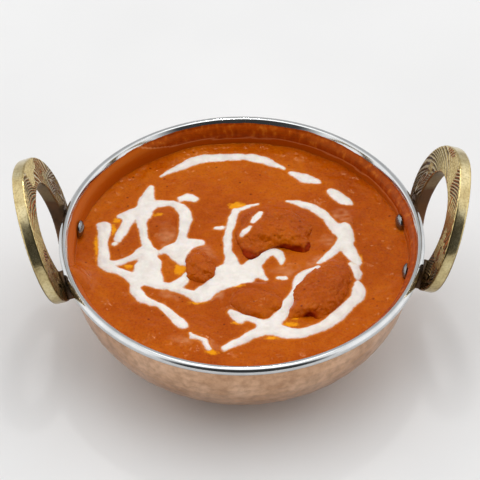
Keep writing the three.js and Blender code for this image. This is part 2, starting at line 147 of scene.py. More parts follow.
def to_segments(points, ends, radii=None):
    """Each point's distance to the nearest of a line's segments, less that segment's radius."""
    nearest = np.full(len(points), 1e3)
    for index in range(len(ends) - 1):
        start, span = ends[index], ends[index + 1] - ends[index]
        away = points - start
        share = np.clip(away @ span / max(span @ span, 1e-9), 0, 1)
        distance = np.hypot(away[:, 0] - share * span[0], away[:, 1] - share * span[1])
        if radii is not None:
            distance = distance - (radii[index] * (1 - share) + radii[index + 1] * share)
        nearest = np.minimum(nearest, distance)
    return nearest


def smooth_line(rows, parts=4):
    """A line through rows of numbers, each stretch split into parts on a smooth curve."""
    rows = np.array(rows, float)
    padded = np.vstack([2 * rows[0] - rows[1], rows, 2 * rows[-1] - rows[-2]])
    out = []
    for index in range(1, len(padded) - 2):
        before, start, end, after = padded[index - 1:index + 3]
        for part in range(parts):
            t = part / parts
            out.append(0.5 * (2 * start + (end - before) * t
                              + (2 * before - 5 * start + 4 * end - after) * t ** 2
                              + (3 * start - before - 3 * end + after) * t ** 3))
    out.append(rows[-1])
    return np.array(out)


# ---------------------------------------------------------------- meshes

def mesh_object(name, points, faces):
    """A mesh from points in mm, in the scene."""
    mesh = bpy.data.meshes.new(name)
    mesh.from_pydata((np.asarray(points) * MM).tolist(), [], [list(face) for face in faces])
    shape = bpy.data.objects.new(name, mesh)
    bpy.context.scene.collection.objects.link(shape)
    return shape


def new_piece(name, points, faces, material, nodes):
    """A smooth piece of the part, on its one body, that stands for CAD nodes."""
    return dress(mesh_object(name, points, faces), material, nodes)


def dress(piece, material, nodes):
    piece.data.materials.clear()
    piece.data.materials.append(material)
    piece.data.shade_smooth()
    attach(piece, "root")
    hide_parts(*nodes)
    return piece


def give(piece, name, values):
    """Keeps one number for each point of a piece, for its material to read."""
    attribute = piece.data.attributes.new(name, "FLOAT", "POINT")
    attribute.data.foreach_set("value", np.asarray(values, np.float32))


def points_of(mesh):
    flat = np.zeros(len(mesh.vertices) * 3)
    mesh.vertices.foreach_get("co", flat)
    return flat.reshape(-1, 3)


def turned(profile, sides, ring=False):
    """Points and faces of a form turned about Z from (radius, height) rows: open, ending on the
    axis, or a closed ring."""
    profile = np.asarray(profile, float)
    angles = np.arange(sides) * 2 * math.pi / sides
    points, rows = [], []
    for radius, height in profile:
        first = len(points)
        if radius < 1e-6:
            points.append((0, 0, height))
            rows.append([first] * sides)
        else:
            for angle in angles:
                points.append((radius * math.cos(angle), radius * math.sin(angle), height))
            rows.append(list(range(first, first + sides)))
    faces = []
    for lower, upper in zip(rows, rows[1:] + rows[:1] if ring else rows[1:]):
        for side in range(sides):
            after = (side + 1) % sides
            face = [lower[side], lower[after], upper[after], upper[side]]
            face = [corner for at, corner in enumerate(face) if corner not in face[:at]]
            if len(face) > 2:
                faces.append(face)
    return np.array(points, float), faces


# ---------------------------------------------------------------- materials

def linear(hex_colour):
    """An sRGB hex colour as the linear colour that a shader takes."""
    channels = [int(hex_colour[at:at + 2], 16) / 255 for at in (1, 3, 5)]
    return [c / 12.92 if c <= 0.04045 else ((c + 0.055) / 1.055) ** 2.4 for c in channels] + [1]


def per_metre(size):
    """How often a pattern of a size in mm repeats in a metre."""
    return 1 / (size * MM)


def add(tree, kind, settings=None, stops=(), out=0, **sockets):
    """Adds a node with its settings, a ramp's (place, hex colour) stops, and what its sockets take:
    numbers, a hex colour or another node's output. A socket is named, or numbered as in i0. Gives
    one of the node's outputs, named or numbered."""
    node = tree.nodes.new(kind)
    for key, value in (settings or {}).items():
        setattr(node, key, value)
    for index, (place, hex_colour) in enumerate(stops):
        elements = node.color_ramp.elements
        element = elements[index] if index < 2 else elements.new(place)
        element.position = place
        element.color = linear(hex_colour)
    for key, value in sockets.items():
        socket = node.inputs[int(key[1:]) if key[1:].isdigit() else key.replace("_", " ")]
        if isinstance(value, bpy.types.NodeSocket):
            tree.links.new(value, socket)
        else:
            socket.default_value = linear(value) if isinstance(value, str) else value
    return node.outputs[out] if node.outputs else None


def new_material(name):
    """An empty material, its node tree, and the places on the object that its patterns follow."""
    material = bpy.data.materials.new(name)
    material.use_nodes = True
    material.node_tree.nodes.clear()
    return material, material.node_tree, add(material.node_tree, PLACE, out="Object")


NOISE, VORONOI, RAMP = "ShaderNodeTexNoise", "ShaderNodeTexVoronoi", "ShaderNodeValToRGB"
MIX, RANGE, MATHS = "ShaderNodeMix", "ShaderNodeMapRange", "ShaderNodeMath"
BUMP, PRINCIPLED, KEPT = "ShaderNodeBump", "ShaderNodeBsdfPrincipled", "ShaderNodeAttribute"
PLACE, OUTPUT = "ShaderNodeTexCoord", "ShaderNodeOutputMaterial"
COLOURS = {"data_type": "RGBA"}
TINT = {"data_type": "RGBA", "blend_type": "MULTIPLY"}
SMOOTHLY = {"interpolation_type": "SMOOTHSTEP"}
MULTIPLY_ADD = {"operation": "MULTIPLY_ADD"}
VECTORS = "ShaderNodeVectorMath"


def hammered_copper():
    # Copper sheet, planished with a hammer, then polished and dulled a little by handling: a warm
    # pinkish brown whose soft reflections change from one flat to the next.
    material, tree, place = new_material("hammered_copper")
    patches = add(tree, NOISE, Vector=place, Scale=per_metre(16), Detail=3.0)
    cloud = add(tree, NOISE, Vector=place, Scale=per_metre(3.5), Detail=4.0, Roughness=0.6)
    tone = add(tree, RAMP, stops=[(0.3, "#C79D7C"), (0.52, "#D9B191"), (0.72, "#E3BFA2")],
               Fac=patches)
    dulling = add(tree, RAMP, stops=[(0.35, "#C9BDB2"), (0.6, "#FFFFFF")], Fac=cloud)
    colour = add(tree, MIX, TINT, out=2, i0=0.6, i6=tone, i7=dulling)
    dullness = add(tree, RANGE, Value=cloud, To_Min=0.24, To_Max=0.4)
    # Scratches of the polishing cloth, drawn coarser than real to show: some 0.35 mm apart.
    scratches = add(tree, NOISE, Vector=place, Scale=per_metre(0.35), Detail=2.0)
    relief = add(tree, BUMP, Strength=0.25, Distance=0.03 * MM, Height=scratches)
    shader = add(tree, PRINCIPLED, Base_Color=colour, Metallic=1.0, Roughness=dullness,
                 Normal=relief)
    add(tree, OUTPUT, Surface=shader)
    return material


def polished_steel(name, tones, film=False):
    # Stainless steel sheet, spun and mirror polished: near-neutral, sharp reflections with faint
    # rings from the polishing wheel. Inside the dish a film of sauce dries on it.
    material, tree, place = new_material(name)
    height = add(tree, "ShaderNodeSeparateXYZ", out="Z", Vector=place)
    # Wheel marks are 0.4 mm apart up the wall and run right round it.
    rings = add(tree, NOISE, {"noise_dimensions": "1D"}, W=height, Scale=per_metre(0.4), Detail=2.0)
    smears = add(tree, NOISE, Vector=place, Scale=per_metre(7), Detail=4.0)
    dullness = add(tree, RANGE, Value=smears, From_Min=0.35, From_Max=0.75, To_Min=0.07,
                   To_Max=0.17)
    relief = add(tree, BUMP, Strength=0.2, Distance=0.02 * MM, Height=rings)
    tone = add(tree, RAMP, stops=[(0.3, tones[0]), (0.7, tones[1])], Fac=smears)
    metal = add(tree, PRINCIPLED, Base_Color=tone, Metallic=1.0, Roughness=dullness, Normal=relief)
    if not film:
        add(tree, OUTPUT, Surface=metal)
        return material
    thickness = add(tree, KEPT, {"attribute_name": "film"}, out="Fac")
    # The film runs in drips 2 mm wide, drawn out down the wall, and thins to a wavy tide line.
    drawn = add(tree, "ShaderNodeMapping", Vector=place, Scale=(1.0, 1.0, 0.45))
    streaks = add(tree, NOISE, Vector=drawn, Scale=per_metre(2.2), Detail=4.0)
    patchy = add(tree, MATHS, MULTIPLY_ADD, i0=streaks, i1=0.6, i2=thickness)
    amount = add(tree, RANGE, SMOOTHLY, Value=patchy, From_Min=0.62, From_Max=1.02)
    brown = add(tree, RAMP, stops=[(0.3, "#8E3402"), (0.55, "#A64204"), (0.75, "#C4681A")],
                Fac=streaks)
    coat = add(tree, KEPT, {"attribute_name": "coat"}, out="Fac")
    brown = add(tree, MIX, COLOURS, out=2, i0=coat, i6=brown, i7="#B35003")
    # The light line at the wet coat's upper edge is a painted highlight, where the tide line
    # catches the light.
    off_highlight_line = add(tree, MATHS, {"operation": "SUBTRACT"}, i0=coat, i1=0.5)
    off_highlight_line = add(tree, MATHS, {"operation": "ABSOLUTE"}, i0=off_highlight_line)
    tide = add(tree, RANGE, SMOOTHLY, Value=off_highlight_line, From_Min=0.4, From_Max=0.1, To_Max=0.55)
    brown = add(tree, MIX, COLOURS, out=2, i0=tide, i6=brown, i7="#D68A56")
    drips = add(tree, BUMP, Strength=0.5, Distance=0.15 * MM, Height=streaks)
    wet = add(tree, RANGE, Value=coat, To_Min=0.26, To_Max=0.4)
    dried = add(tree, PRINCIPLED, Base_Color=brown, Roughness=wet, IOR=1.42, Normal=drips,
                Specular_Tint=(0.95, 0.5, 0.15, 1.0))
    joined = add(tree, "ShaderNodeMixShader", i0=amount, i1=metal, i2=dried)
    add(tree, OUTPUT, Surface=joined)
    return material


def cast_brass():
    # Yellow brass, sand cast, engraved and polished by hand: pale gold where it is rubbed, olive
    # brown where it has tarnished, and dark wax and tarnish down in the engraving. Painted shade
    # with some soot darkens the foot and the hole, and the faces are painted paler toward the
    # crown.
    material, tree, place = new_material("cast_brass")
    tarnish = add(tree, NOISE, Vector=place, Scale=per_metre(9), Detail=4.0)
    grit = add(tree, NOISE, Vector=place, Scale=per_metre(0.9), Detail=3.0)
    groove, soot_and_shade, carved = (add(tree, KEPT, {"attribute_name": mark}, out="Fac")
                            for mark in ("groove", "soot_and_shade", "carved"))
    gold = add(tree, RAMP, stops=[(0.3, "#B5A172"), (0.5, "#D1C090"), (0.7, "#E2D6AC")],
               Fac=tarnish)
    speckled = add(tree, RAMP, stops=[(0.3, "#A89C86"), (0.55, "#FFFFFF")], Fac=grit)
    colour = add(tree, MIX, TINT, out=2, i0=0.45, i6=gold, i7=speckled)
    pale = add(tree, RAMP, stops=[(0.35, "#AE9862"), (0.65, "#D6C28C")], Fac=grit)
    brown = add(tree, RAMP, stops=[(0.35, "#5A4626"), (0.65, "#82683C")], Fac=grit)
    # The faces are painted brown on the lower limbs and pale at the crown, by height: painted
    # light, the crown lit and the limbs shaded, over their tarnish.
    height = add(tree, "ShaderNodeSeparateXYZ", out="Z", Vector=place)
    painted_crown_light = add(tree, RANGE, SMOOTHLY, Value=height, From_Min=0.056, From_Max=0.076)
    tarnish_and_crown_light = add(tree, MIX, COLOURS, out=2, i0=painted_crown_light, i6=brown, i7=pale)
    wax = add(tree, RAMP, stops=[(0.4, "#2C1B0D"), (0.7, "#6E3A18")], Fac=tarnish)
    # Painted shade with some soot: dark brown where the foot, the ledge and the hole lie in shade.
    soot_and_shade_tone = add(tree, RAMP, stops=[(0.3, "#2C2010"), (0.65, "#66401C")], Fac=tarnish)
    for share, top in ((carved, tarnish_and_crown_light), (groove, wax), (soot_and_shade, soot_and_shade_tone)):
        colour = add(tree, MIX, COLOURS, out=2, i0=share, i6=colour, i7=top)
    dark = add(tree, MATHS, {"operation": "MAXIMUM"}, i0=groove, i1=soot_and_shade)
    metal = add(tree, RANGE, Value=dark, To_Min=1.0, To_Max=0.35)
    rubbed = add(tree, RANGE, Value=tarnish, From_Min=0.3, From_Max=0.7, To_Min=0.14, To_Max=0.24)
    dullness = add(tree, MATHS, MULTIPLY_ADD, i0=dark, i1=0.3, i2=rubbed)
    relief = add(tree, BUMP, Strength=0.3, Distance=0.05 * MM, Height=grit)
    shader = add(tree, PRINCIPLED, Base_Color=colour, Metallic=metal, Roughness=dullness,
                 Normal=relief)
    add(tree, OUTPUT, Surface=shader)
    return material


def butter_sauce(name, meat=False):
    # Tomato and butter gravy, simmered smooth and thickened with cream: opaque burnt orange, a
    # little deeper than its skin, with a thin shine of butter oil. Poured cream lies on it, and
    # amber oil parts from it at the cream's edge. On the meat, fibres show, and its near lower
    # edges are dark red-brown, partly char and partly painted shade.
    material, tree, place = new_material(name)
    drift = add(tree, NOISE, Vector=place, Scale=per_metre(34), Detail=2.0)
    mottle = add(tree, NOISE, Vector=place, Scale=per_metre(4.5), Detail=5.0, Roughness=0.62)
    grain = add(tree, NOISE, Vector=place, Scale=per_metre(0.9), Detail=4.0)
    blend = add(tree, MATHS, MULTIPLY_ADD, i0=mottle, i1=0.55, i2=drift)
    tone = add(tree, RAMP, stops=[(0.55, "#A94702"), (0.78, "#B75302"), (1.0, "#C56304")],
               Fac=blend)
    flecks = add(tree, RAMP, stops=[(0.33, "#CDA68E"), (0.5, "#FFFFFF")], Fac=grain)
    colour = add(tree, MIX, TINT, out=2, i0=0.4, i6=tone, i7=flecks)
    layers = []
    relief_strength, shine_level = 0.8, 0.3
    if not meat:
        veil = add(tree, KEPT, {"attribute_name": "veil"}, out="Fac")
        thin = add(tree, MATHS, {"operation": "MULTIPLY"}, i0=veil, i1=0.5)
        layers.append((thin, "#E2A070"))
        # Where thin cream and sauce have run together the skin is wrinkled.
        relief_strength = add(tree, RANGE, Value=veil, To_Min=0.35, To_Max=0.9)
    # Ground spice: specks about 1 mm across, one to some 6 mm.
    spice = add(tree, VORONOI, Vector=place, Scale=per_metre(6), Randomness=1.0)
    speck = add(tree, RANGE, SMOOTHLY, Value=spice, From_Min=0.05, From_Max=0.11, To_Min=0.75,
                To_Max=0.0)
    layers.append((speck, "#6E2405"))
    cream = add(tree, KEPT, {"attribute_name": "cream"}, out="Fac")
    fray = add(tree, NOISE, Vector=place, Scale=per_metre(1.6), Detail=3.0)
    ragged = add(tree, MATHS, MULTIPLY_ADD, i0=fray, i1=0.8, i2=cream)
    white = add(tree, RANGE, SMOOTHLY, Value=ragged, From_Min=0.85, From_Max=-0.05)
    halo = add(tree, RANGE, SMOOTHLY, Value=ragged, From_Min=1.7, From_Max=0.5, To_Max=0.5)
    layers.append((halo, "#DE8420"))
    if not meat:
        oil = add(tree, KEPT, {"attribute_name": "oil"}, out="Fac")
        pool = add(tree, MATHS, MULTIPLY_ADD, i0=fray, i1=2.4, i2=oil)
        amber = add(tree, RANGE, SMOOTHLY, Value=pool, From_Min=1.9, From_Max=0.6)
        layers.append((amber, "#EE9A06"))
    else:
        bare, char_and_shade = (add(tree, KEPT, {"attribute_name": mark}, out="Fac")
                      for mark in ("bare", "char_and_shade"))
        flesh = add(tree, RAMP, stops=[(0.35, "#8E3A14"), (0.65, "#B9683A")], Fac=grain)
        shine_level = add(tree, RANGE, Value=char_and_shade, To_Min=0.3, To_Max=0.08)
        # Dark red-brown of char, partly painted shade under the meat's near edges.
        charred_and_shaded = add(tree, RAMP, stops=[(0.35, "#6A1202"), (0.7, "#9C2E04")], Fac=mottle)
        layers += [(bare, flesh), (char_and_shade, charred_and_shaded)]
    milk = add(tree, RAMP, stops=[(0.35, "#E6DED6"), (0.6, "#F3EDE6")], Fac=mottle)
    for share, top in layers + [(white, milk)]:
        colour = add(tree, MIX, COLOURS, out=2, i0=share, i6=colour, i7=top)
    # Butter oil on top tints what it reflects; the cream, which has none, doesn't.
    gleam = add(tree, MIX, COLOURS, out=2, i0=white, i6=(1.0, 0.6, 0.3, 1.0),
                i7=(0.8, 0.8, 0.8, 1.0))
    shine = add(tree, RANGE, Value=mottle, From_Min=0.3, From_Max=0.7, To_Min=0.14, To_Max=0.26)
    # Soft lumps 3.5 mm across with grains of ground spice and onion 1.3 mm across between them.
    soft = add(tree, NOISE, Vector=place, Scale=per_metre(3.5), Detail=0.0)
    grains = add(tree, NOISE, Vector=place, Scale=per_metre(1.3), Detail=0.0)
    lumps = add(tree, MATHS, MULTIPLY_ADD, i0=grains, i1=0.35, i2=soft)
    rough = add(tree, RANGE, Value=white, To_Min=relief_strength, To_Max=0.12)
    relief = add(tree, BUMP, Strength=rough, Distance=0.9 * MM, Height=lumps)
    shader = add(tree, PRINCIPLED, Base_Color=colour, Roughness=shine, IOR=1.42, Normal=relief,
                 Subsurface_Weight=0.18, Subsurface_Scale=1.2 * MM,
                 Subsurface_Radius=(1.0, 0.4, 0.15), Specular_Tint=gleam,
                 Specular_IOR_Level=shine_level)
    add(tree, OUTPUT, Surface=shader)
    return material


COPPER = hammered_copper()
LINING = polished_steel("polished_steel_lining", ("#C3C5C6", "#D2D3D3"), film=True)
# The rivets' steel is a darker copy of the lining's: its darker tones are painted shade.
SHADED_RIVET_STEEL = polished_steel("polished_steel_rivet_shaded", ("#77787A", "#97989A"))
BRASS = cast_brass()
SAUCE = butter_sauce("butter_sauce")
MEAT = butter_sauce("sauced_chicken", meat=True)

# ---------------------------------------------------------------- the two skins of the dish


def wall_point(share, depth=0.0):
    """Radius and height on the wall at a share of its height, at a depth under the copper."""
    rise = 1 - share
    spread = SHELL_TOP_RADIUS - BASE_RADIUS
    slope = spread * WALL_CURVE * rise ** (WALL_CURVE - 1) / SHELL_HEIGHT
    length = np.hypot(1, slope)
    radius = BASE_RADIUS + spread * (1 - rise ** WALL_CURVE)
    return radius - depth / length, SHELL_HEIGHT * share + depth * slope / length


WALL_SHARES = np.linspace(0, 1, 400)
INSIDE_DEPTH = COPPER_THICKNESS + TOUCH_GAP + STEEL_THICKNESS


def wall_radius(height, depth):
    """The wall's radius at a height, at a depth under the copper's face."""
    radii, heights = wall_point(WALL_SHARES, depth)
    return np.interp(height, heights, radii)


# The lining's flare under the rim: radius and height.
FLARE = [(69.1, 45.2), (69.9, 46.5), (70.6, 47.2), (71.1, 47.7), (71.65, 48.75), (72.2, 49.72)]


def lining_radius(height):
    """The lining's radius at a height, up its wall and its flare."""
    last = FLARE[0][1] - 1
    rows = np.array([(wall_radius(last, INSIDE_DEPTH), last)] + FLARE)
    return np.where(height < last, wall_radius(height, INSIDE_DEPTH),
                    np.interp(height, rows[:, 1], rows[:, 0]))


HAMMER_ROW = 3.7
HAMMER_FLAT = 5.4
HAMMER_DEPTH = 0.11
HAMMER_TILT = 0.012
HAMMER_SINK = 0.02
COPPER_SIDES = 480
COPPER_ROWS = 64


def hammer_marks(along, angle, radius):
    """How far the planished copper stands in or out: shallow flats in rows, with soft ridges."""
    rng = np.random.default_rng(5)
    row_count = int(along.max() / HAMMER_ROW) + 3
    flats = []
    for row in range(-1, row_count):
        row_radius = np.interp(row * HAMMER_ROW, along, radius)
        count = int(2 * math.pi * row_radius / HAMMER_FLAT)
        turn = (np.arange(count) + rng.uniform(-0.3, 0.3, count) + 0.5 * (row % 2)) / count
        rise = row * HAMMER_ROW + rng.uniform(-0.9, 0.9, count)
        tilt = rng.uniform(-1, 1, (count, 2)) * HAMMER_TILT
        flats.append((turn * 2 * math.pi, rise, tilt))
    height = np.full((len(along), len(angle)), 1e3)
    depth = np.zeros_like(height)
    for level, (rise_here, radius_here) in enumerate(zip(along, radius)):
        row = int(round(rise_here / HAMMER_ROW))
        for near in (row - 1, row, row + 1):
            turns, rises, tilts = flats[min(max(near + 1, 0), len(flats) - 1)]
            for shift in (-1, 0, 1):
                nearest = np.round(angle / (2 * math.pi) * len(turns)).astype(int) + shift
                nearest = nearest % len(turns)
                side = angle - turns[nearest]
                side = (side + math.pi) % (2 * math.pi) - math.pi
                across = side * radius_here
                up = rise_here - rises[nearest]
                away = (across / HAMMER_FLAT) ** 2 + (up / HAMMER_ROW) ** 2
                tilted = tilts[nearest, 0] * across + tilts[nearest, 1] * up
                closer = away < height[level]
                height[level] = np.where(closer, away, height[level])
                depth[level] = np.where(closer, tilted, depth[level])
    return HAMMER_DEPTH * (4 * np.minimum(height, 0.5) - 1) + depth


def copper_wall():
    shares = np.linspace(0, 1, COPPER_ROWS)
    outside = np.column_stack(wall_point(shares))
    inside = np.column_stack(wall_point(shares[::-4], COPPER_THICKNESS))
    inside[:, 1] = np.maximum(inside[:, 1], COPPER_THICKNESS)
    base = [(0, 0.0), (12, 0.0), (24, 0.0), (34, 0.0), (38.6, 0.0)]
    lip = [(70.45, SHELL_HEIGHT), (70.0, SHELL_HEIGHT)]
    profile = np.vstack([base, outside[1:-1], lip, inside[1:], [(0, COPPER_THICKNESS)]])
    points, faces = turned(profile, COPPER_SIDES)
    rows = outside[1:-1]
    steps = np.hypot(*np.diff(outside, axis=0).T)
    along = np.cumsum(steps)[:-1]
    angle = np.arange(COPPER_SIDES) * 2 * math.pi / COPPER_SIDES
    marks = hammer_marks(along, angle, rows[:, 0])
    marks *= (step(0.5, 4.0, along) * step(0.2, 1.5, along[-1] - along))[:, None]
    first = 1 + (len(base) - 1) * COPPER_SIDES
    slope = np.gradient(rows[:, 1]) / np.maximum(np.gradient(rows[:, 0]), 1e-6)
    lean = np.arctan(slope)
    for row in range(len(rows)):
        at = slice(first + row * COPPER_SIDES, first + (row + 1) * COPPER_SIDES)
        push = marks[row] - HAMMER_SINK
        outward = push * math.sin(lean[row])
        points[at, 0] += outward * np.cos(angle)
        points[at, 1] += outward * np.sin(angle)
        points[at, 2] -= push * math.cos(lean[row])
    return new_piece("copper_wall", points, faces, COPPER, ["copper_shell"])


LINING_SIDES = 256
# The dried film ends just under the rim; the coat that is still wet ends lower, and rises toward
# the left side, where the sauce has washed the wall.
FILM_TOP = 48.4
FILM_RADIUS = 71.9
COAT_TOP = 42.4
COAT_RISE = 8
COAT_RISE_FROM, COAT_RISE_TO = -20, -55
# Waves of their upper edges: height, size and seed.
FILM_WAVES = ((0.3, 17, 0), (0.2, 4.5, 0))
COAT_WAVES = ((0.7, 14, 2), (0.35, 3.5, 3))


def steel_lining():
    """The polished lining: bowl, flare and rolled rim, with a film of sauce over its level."""
    roll_height = RIM_HEIGHT - RIM_ROLL_RADIUS
    ledge = roll_height - RIM_ROLL_RADIUS
    inside = np.column_stack(wall_point(np.linspace(0, 1, 40), INSIDE_DEPTH))
    inside = inside[inside[:, 1] < FLARE_HEIGHT]
    inside[:, 1] = np.maximum(inside[:, 1], INSIDE_DEPTH)
    flare = smooth_line([inside[-1]] + FLARE)[1:]
    # The sheet's roll is pressed flat where it leaves the flare, and round from there on.
    angles = np.linspace(0.62 * math.pi, -0.5 * math.pi, 24)
    roll = np.column_stack([RIM_ROLL_CENTRE + RIM_ROLL_RADIUS * np.cos(angles),
                            roll_height + RIM_ROLL_RADIUS * np.sin(angles)])
    outside = np.column_stack(wall_point(np.linspace(1, 0, 14), COPPER_THICKNESS + TOUCH_GAP))
    outside[:, 1] = np.maximum(outside[:, 1], COPPER_THICKNESS + TOUCH_GAP)
    outside[0, 1] = ledge
    profile = np.vstack([[(0, INSIDE_DEPTH)], inside[1:], flare, roll, outside,
                         [(0, COPPER_THICKNESS + TOUCH_GAP)]])
    points, faces = turned(profile[::-1], LINING_SIDES)
    piece = new_piece("steel_lining", points, faces, LINING, ["steel_liner"])
    around = points * (1, 1, 0)
    top = FILM_TOP + swells(around, FILM_WAVES)
    give(piece, "film", step(0.4, -0.4, points[:, 2] - top)
         * (np.hypot(*points[:, :2].T) < FILM_RADIUS))
    tide = COAT_TOP + COAT_RISE * step(COAT_RISE_FROM, COAT_RISE_TO, points[:, 0])
    tide = tide + swells(around, COAT_WAVES)
    give(piece, "coat", step(0.5, -0.4, points[:, 2] - tide))
    return piece


def rivet(name, side, foot):
    """A round-headed rivet through the wall, its head inside the dish."""
    angles = np.linspace(0, math.pi / 2, 14)
    dome = np.column_stack([RIVET_HEAD_RADIUS * np.sin(angles),
                            -TOUCH_GAP - RIVET_HEAD_HEIGHT * np.cos(angles)])
    stem = [(RIVET_SHANK_RADIUS, -TOUCH_GAP), (RIVET_SHANK_RADIUS, RIVET_SHANK_DEPTH),
            (0, RIVET_SHANK_DEPTH)]
    points, faces = turned(np.vstack([dome, stem])[::-1], RIVET_SIDES)
    height = RIGHT_RIVET_Z if side > 0 else LEFT_RIVET_Z
    radius = wall_radius(height, INSIDE_DEPTH) - RIVET_SEAT
    turn = foot * math.asin(RIVET_SIDE / radius) + (math.pi if side < 0 else 0)
    placed = np.array(Matrix.Rotation(turn, 4, "Z") @ Matrix.Translation((radius, 0, height))
                      @ Matrix.Rotation(math.pi / 2, 4, "Y"))
    points = points @ placed[:3, :3].T + placed[:3, 3]
    return new_piece(name + "_head", points, faces, SHADED_RIVET_STEEL, [name])


# ---------------------------------------------------------------- the brass handles

HANDLE_LEAN = math.radians(19)
HANDLE_FOOT_X = 72.5
HANDLE_FOOT_Z = 45.8
HANDLE_THICKNESS = 5.2
WAIST_HEIGHT = 10.5
OUTER_LOOP = {"half": 32.2, "rise": 33.8, "drop": 22.6, "above": 1.76, "below": 2.3, "ledge": -5}
INNER_LOOP = {"half": 19, "rise": 20, "drop": 17, "above": 2.3, "below": 2.2, "ledge": 6.5}
FOOT_INNER_EDGE = 8
# The ledge slopes down from its outer end toward the middle of the handle.
LEDGE_END = 25
LEDGE_SLOPE = 1.8
LEDGE_REACH = 12
LEDGE_ROOT = 1
ROOM_TOP = 60
HANDLE_STATIONS = 560
FACE_PARTS = 52
EDGE_ROUND = 0.8
FLAME_PITCH = 1.45
LEAF_PLACES = (-41, 41)
LEAF_LENGTH = 9
LEAF_WIDTH = 2
LEAF_TILT = 0.22
LEAF_ASIDE = 0.9
VEIN_PITCH = 1.25
GROOVE_DEPTH = 0.6
UNEVENNESS = 0.1
# The farthest that a point of the finished handle may be from the one whose marks it takes.
MARK_REACH = 0.4


def foot_angle(loop):
    return math.acos((FOOT_INNER_EDGE / loop["half"]) ** (loop["below"] / 2))


def loop_line(loop, count, start=None, end=None):
    """Evenly spaced points of a handle's outline in its own plane, from one foot to the other."""
    start = -foot_angle(loop) if start is None else start
    end = math.pi + foot_angle(loop) if end is None else end
    angles = np.linspace(start, end, 4000)
    cosine, sine = np.cos(angles), np.sin(angles)
    power = 2 / np.where(sine >= 0, loop["above"], loop["below"])
    tall = np.where(sine >= 0, loop["rise"], loop["drop"])
    line = np.column_stack([np.sign(cosine) * np.abs(cosine) ** power * loop["half"],
                            WAIST_HEIGHT + np.sign(sine) * np.abs(sine) ** power * tall])
    length = np.concatenate([[0], np.cumsum(np.hypot(*np.diff(line, axis=0).T))])
    even = np.linspace(0, length[-1], count)
    return np.column_stack([np.interp(even, length, line[:, 0]),
                            np.interp(even, length, line[:, 1])])


def engraving(along, across, half_width):
    """How deep the graver went, from 0 to 1, at places along and across a handle's face: flowing
    flames that lean across it, parting round leaves that lie along it."""
    places = np.column_stack([along, across])
    sway = np.sin(along / 3.4 + 0.3 * across) + 0.4 * noise(places, 5.5, 21)
    flow = 0.75 * across + 0.55 * along + sway + 0.2 * noise(places, 2, 22)
    line = np.sin(2 * math.pi * flow / FLAME_PITCH)
    # Here and there the flames cross under finer ones that lean the other way.
    counter = 0.75 * along - 0.6 * across + 0.4 * noise(places, 4.5, 25)
    crossing = np.sin(2 * math.pi * counter / VEIN_PITCH)
    line = np.where(noise(places, 7.5, 26) > 0.12, crossing, line)
    ragged = places + np.column_stack([0.6 * noise(places, 3, 24), np.zeros(len(places))])
    for leaf_place, way in zip(LEAF_PLACES, (-1, 1)):
        long, wide = turned_places(ragged, leaf_place, LEAF_ASIDE * way, LEAF_TILT * way)
        away = (np.hypot(long / LEAF_LENGTH, wide / LEAF_WIDTH) - 1) * LEAF_WIDTH
        line = np.where(away < 0, np.cos(2 * math.pi * away / VEIN_PITCH), line)
    depth = step(-0.15, 0.75, line)
    return depth * step(0.3, 0.8, half_width - np.abs(across))


def handle_arch():
    """The loop as a grid: rings round its section, from foot to foot, and its engraved depth."""
    inner = loop_line(INNER_LOOP, HANDLE_STATIONS)
    outer = loop_line(OUTER_LOOP, HANDLE_STATIONS)
    middle = (inner + outer) / 2
    along = np.concatenate([[0], np.cumsum(np.hypot(*np.diff(middle, axis=0).T))])
    along -= along[-1] / 2
    widths = np.hypot(*(outer - inner).T)
    # The ring round the section, from the corner at the hole and over the engraved face: each
    # point's share of the flat width, what it adds to that, and its depth.
    angles = np.linspace(0, math.pi / 2, 6)
    low, high = EDGE_ROUND * (1 - np.sin(angles)), EDGE_ROUND * (1 - np.cos(angles))
    flat = np.linspace(0, 1, FACE_PARTS)[1:-1]
    wall = np.linspace(EDGE_ROUND, HANDLE_THICKNESS - EDGE_ROUND, 11)[1:-1]
    back = HANDLE_THICKNESS
    ring = np.vstack([np.column_stack(np.broadcast_arrays(*rows)) for rows in (
        (0, high, low), (flat, EDGE_ROUND, 0), (1, 2 * EDGE_ROUND - low, high),
        (1, 2 * EDGE_ROUND, wall), (1, 2 * EDGE_ROUND - high, back - low),
        (flat[::-1], EDGE_ROUND, back), (0, low, back - high), (0, 0, wall[::-1]))])
    spans = widths - 2 * EDGE_ROUND
    rise = spans[:, None] * ring[:, 0] + ring[:, 1]
    depth = np.repeat(ring[None, :, 2], HANDLE_STATIONS, axis=0)
    share = rise / widths[:, None]
    places = inner[:, None, :] * (1 - share[..., None]) + outer[:, None, :] * share[..., None]
    across = rise - widths[:, None] / 2
    spread_along = np.repeat(along[:, None], len(ring), axis=1)
    half = np.repeat(widths[:, None] / 2, len(ring), axis=1)
    cut = engraving(spread_along.ravel(), across.ravel(), half.ravel()).reshape(depth.shape)
    on_front, on_back = depth < 1e-6, depth > back - 1e-6
    near_face = step(EDGE_ROUND + 0.3, 0, np.minimum(depth, back - depth))
    in_hole = step(0.4, 0, across + half) * step(0, EDGE_ROUND, np.minimum(depth, back - depth))
    groove = cut * near_face
    uneven = noise(np.column_stack([places.reshape(-1, 2), depth.ravel()]), 5.5, 3)
    uneven = np.abs(uneven.reshape(depth.shape)) * UNEVENNESS
    sunk = depth + GROOVE_DEPTH * groove * np.where(depth < back / 2, 1, -1)
    sunk += uneven * np.where(on_front, 1, np.where(on_back, -1, 0))
    outward = (outer - inner) / widths[:, None]
    lean_in = (np.abs(across) > half - 0.3) * uneven * np.sign(across)
    places = places - outward[:, None, :] * lean_in[..., None]
    return places, sunk, groove, in_hole


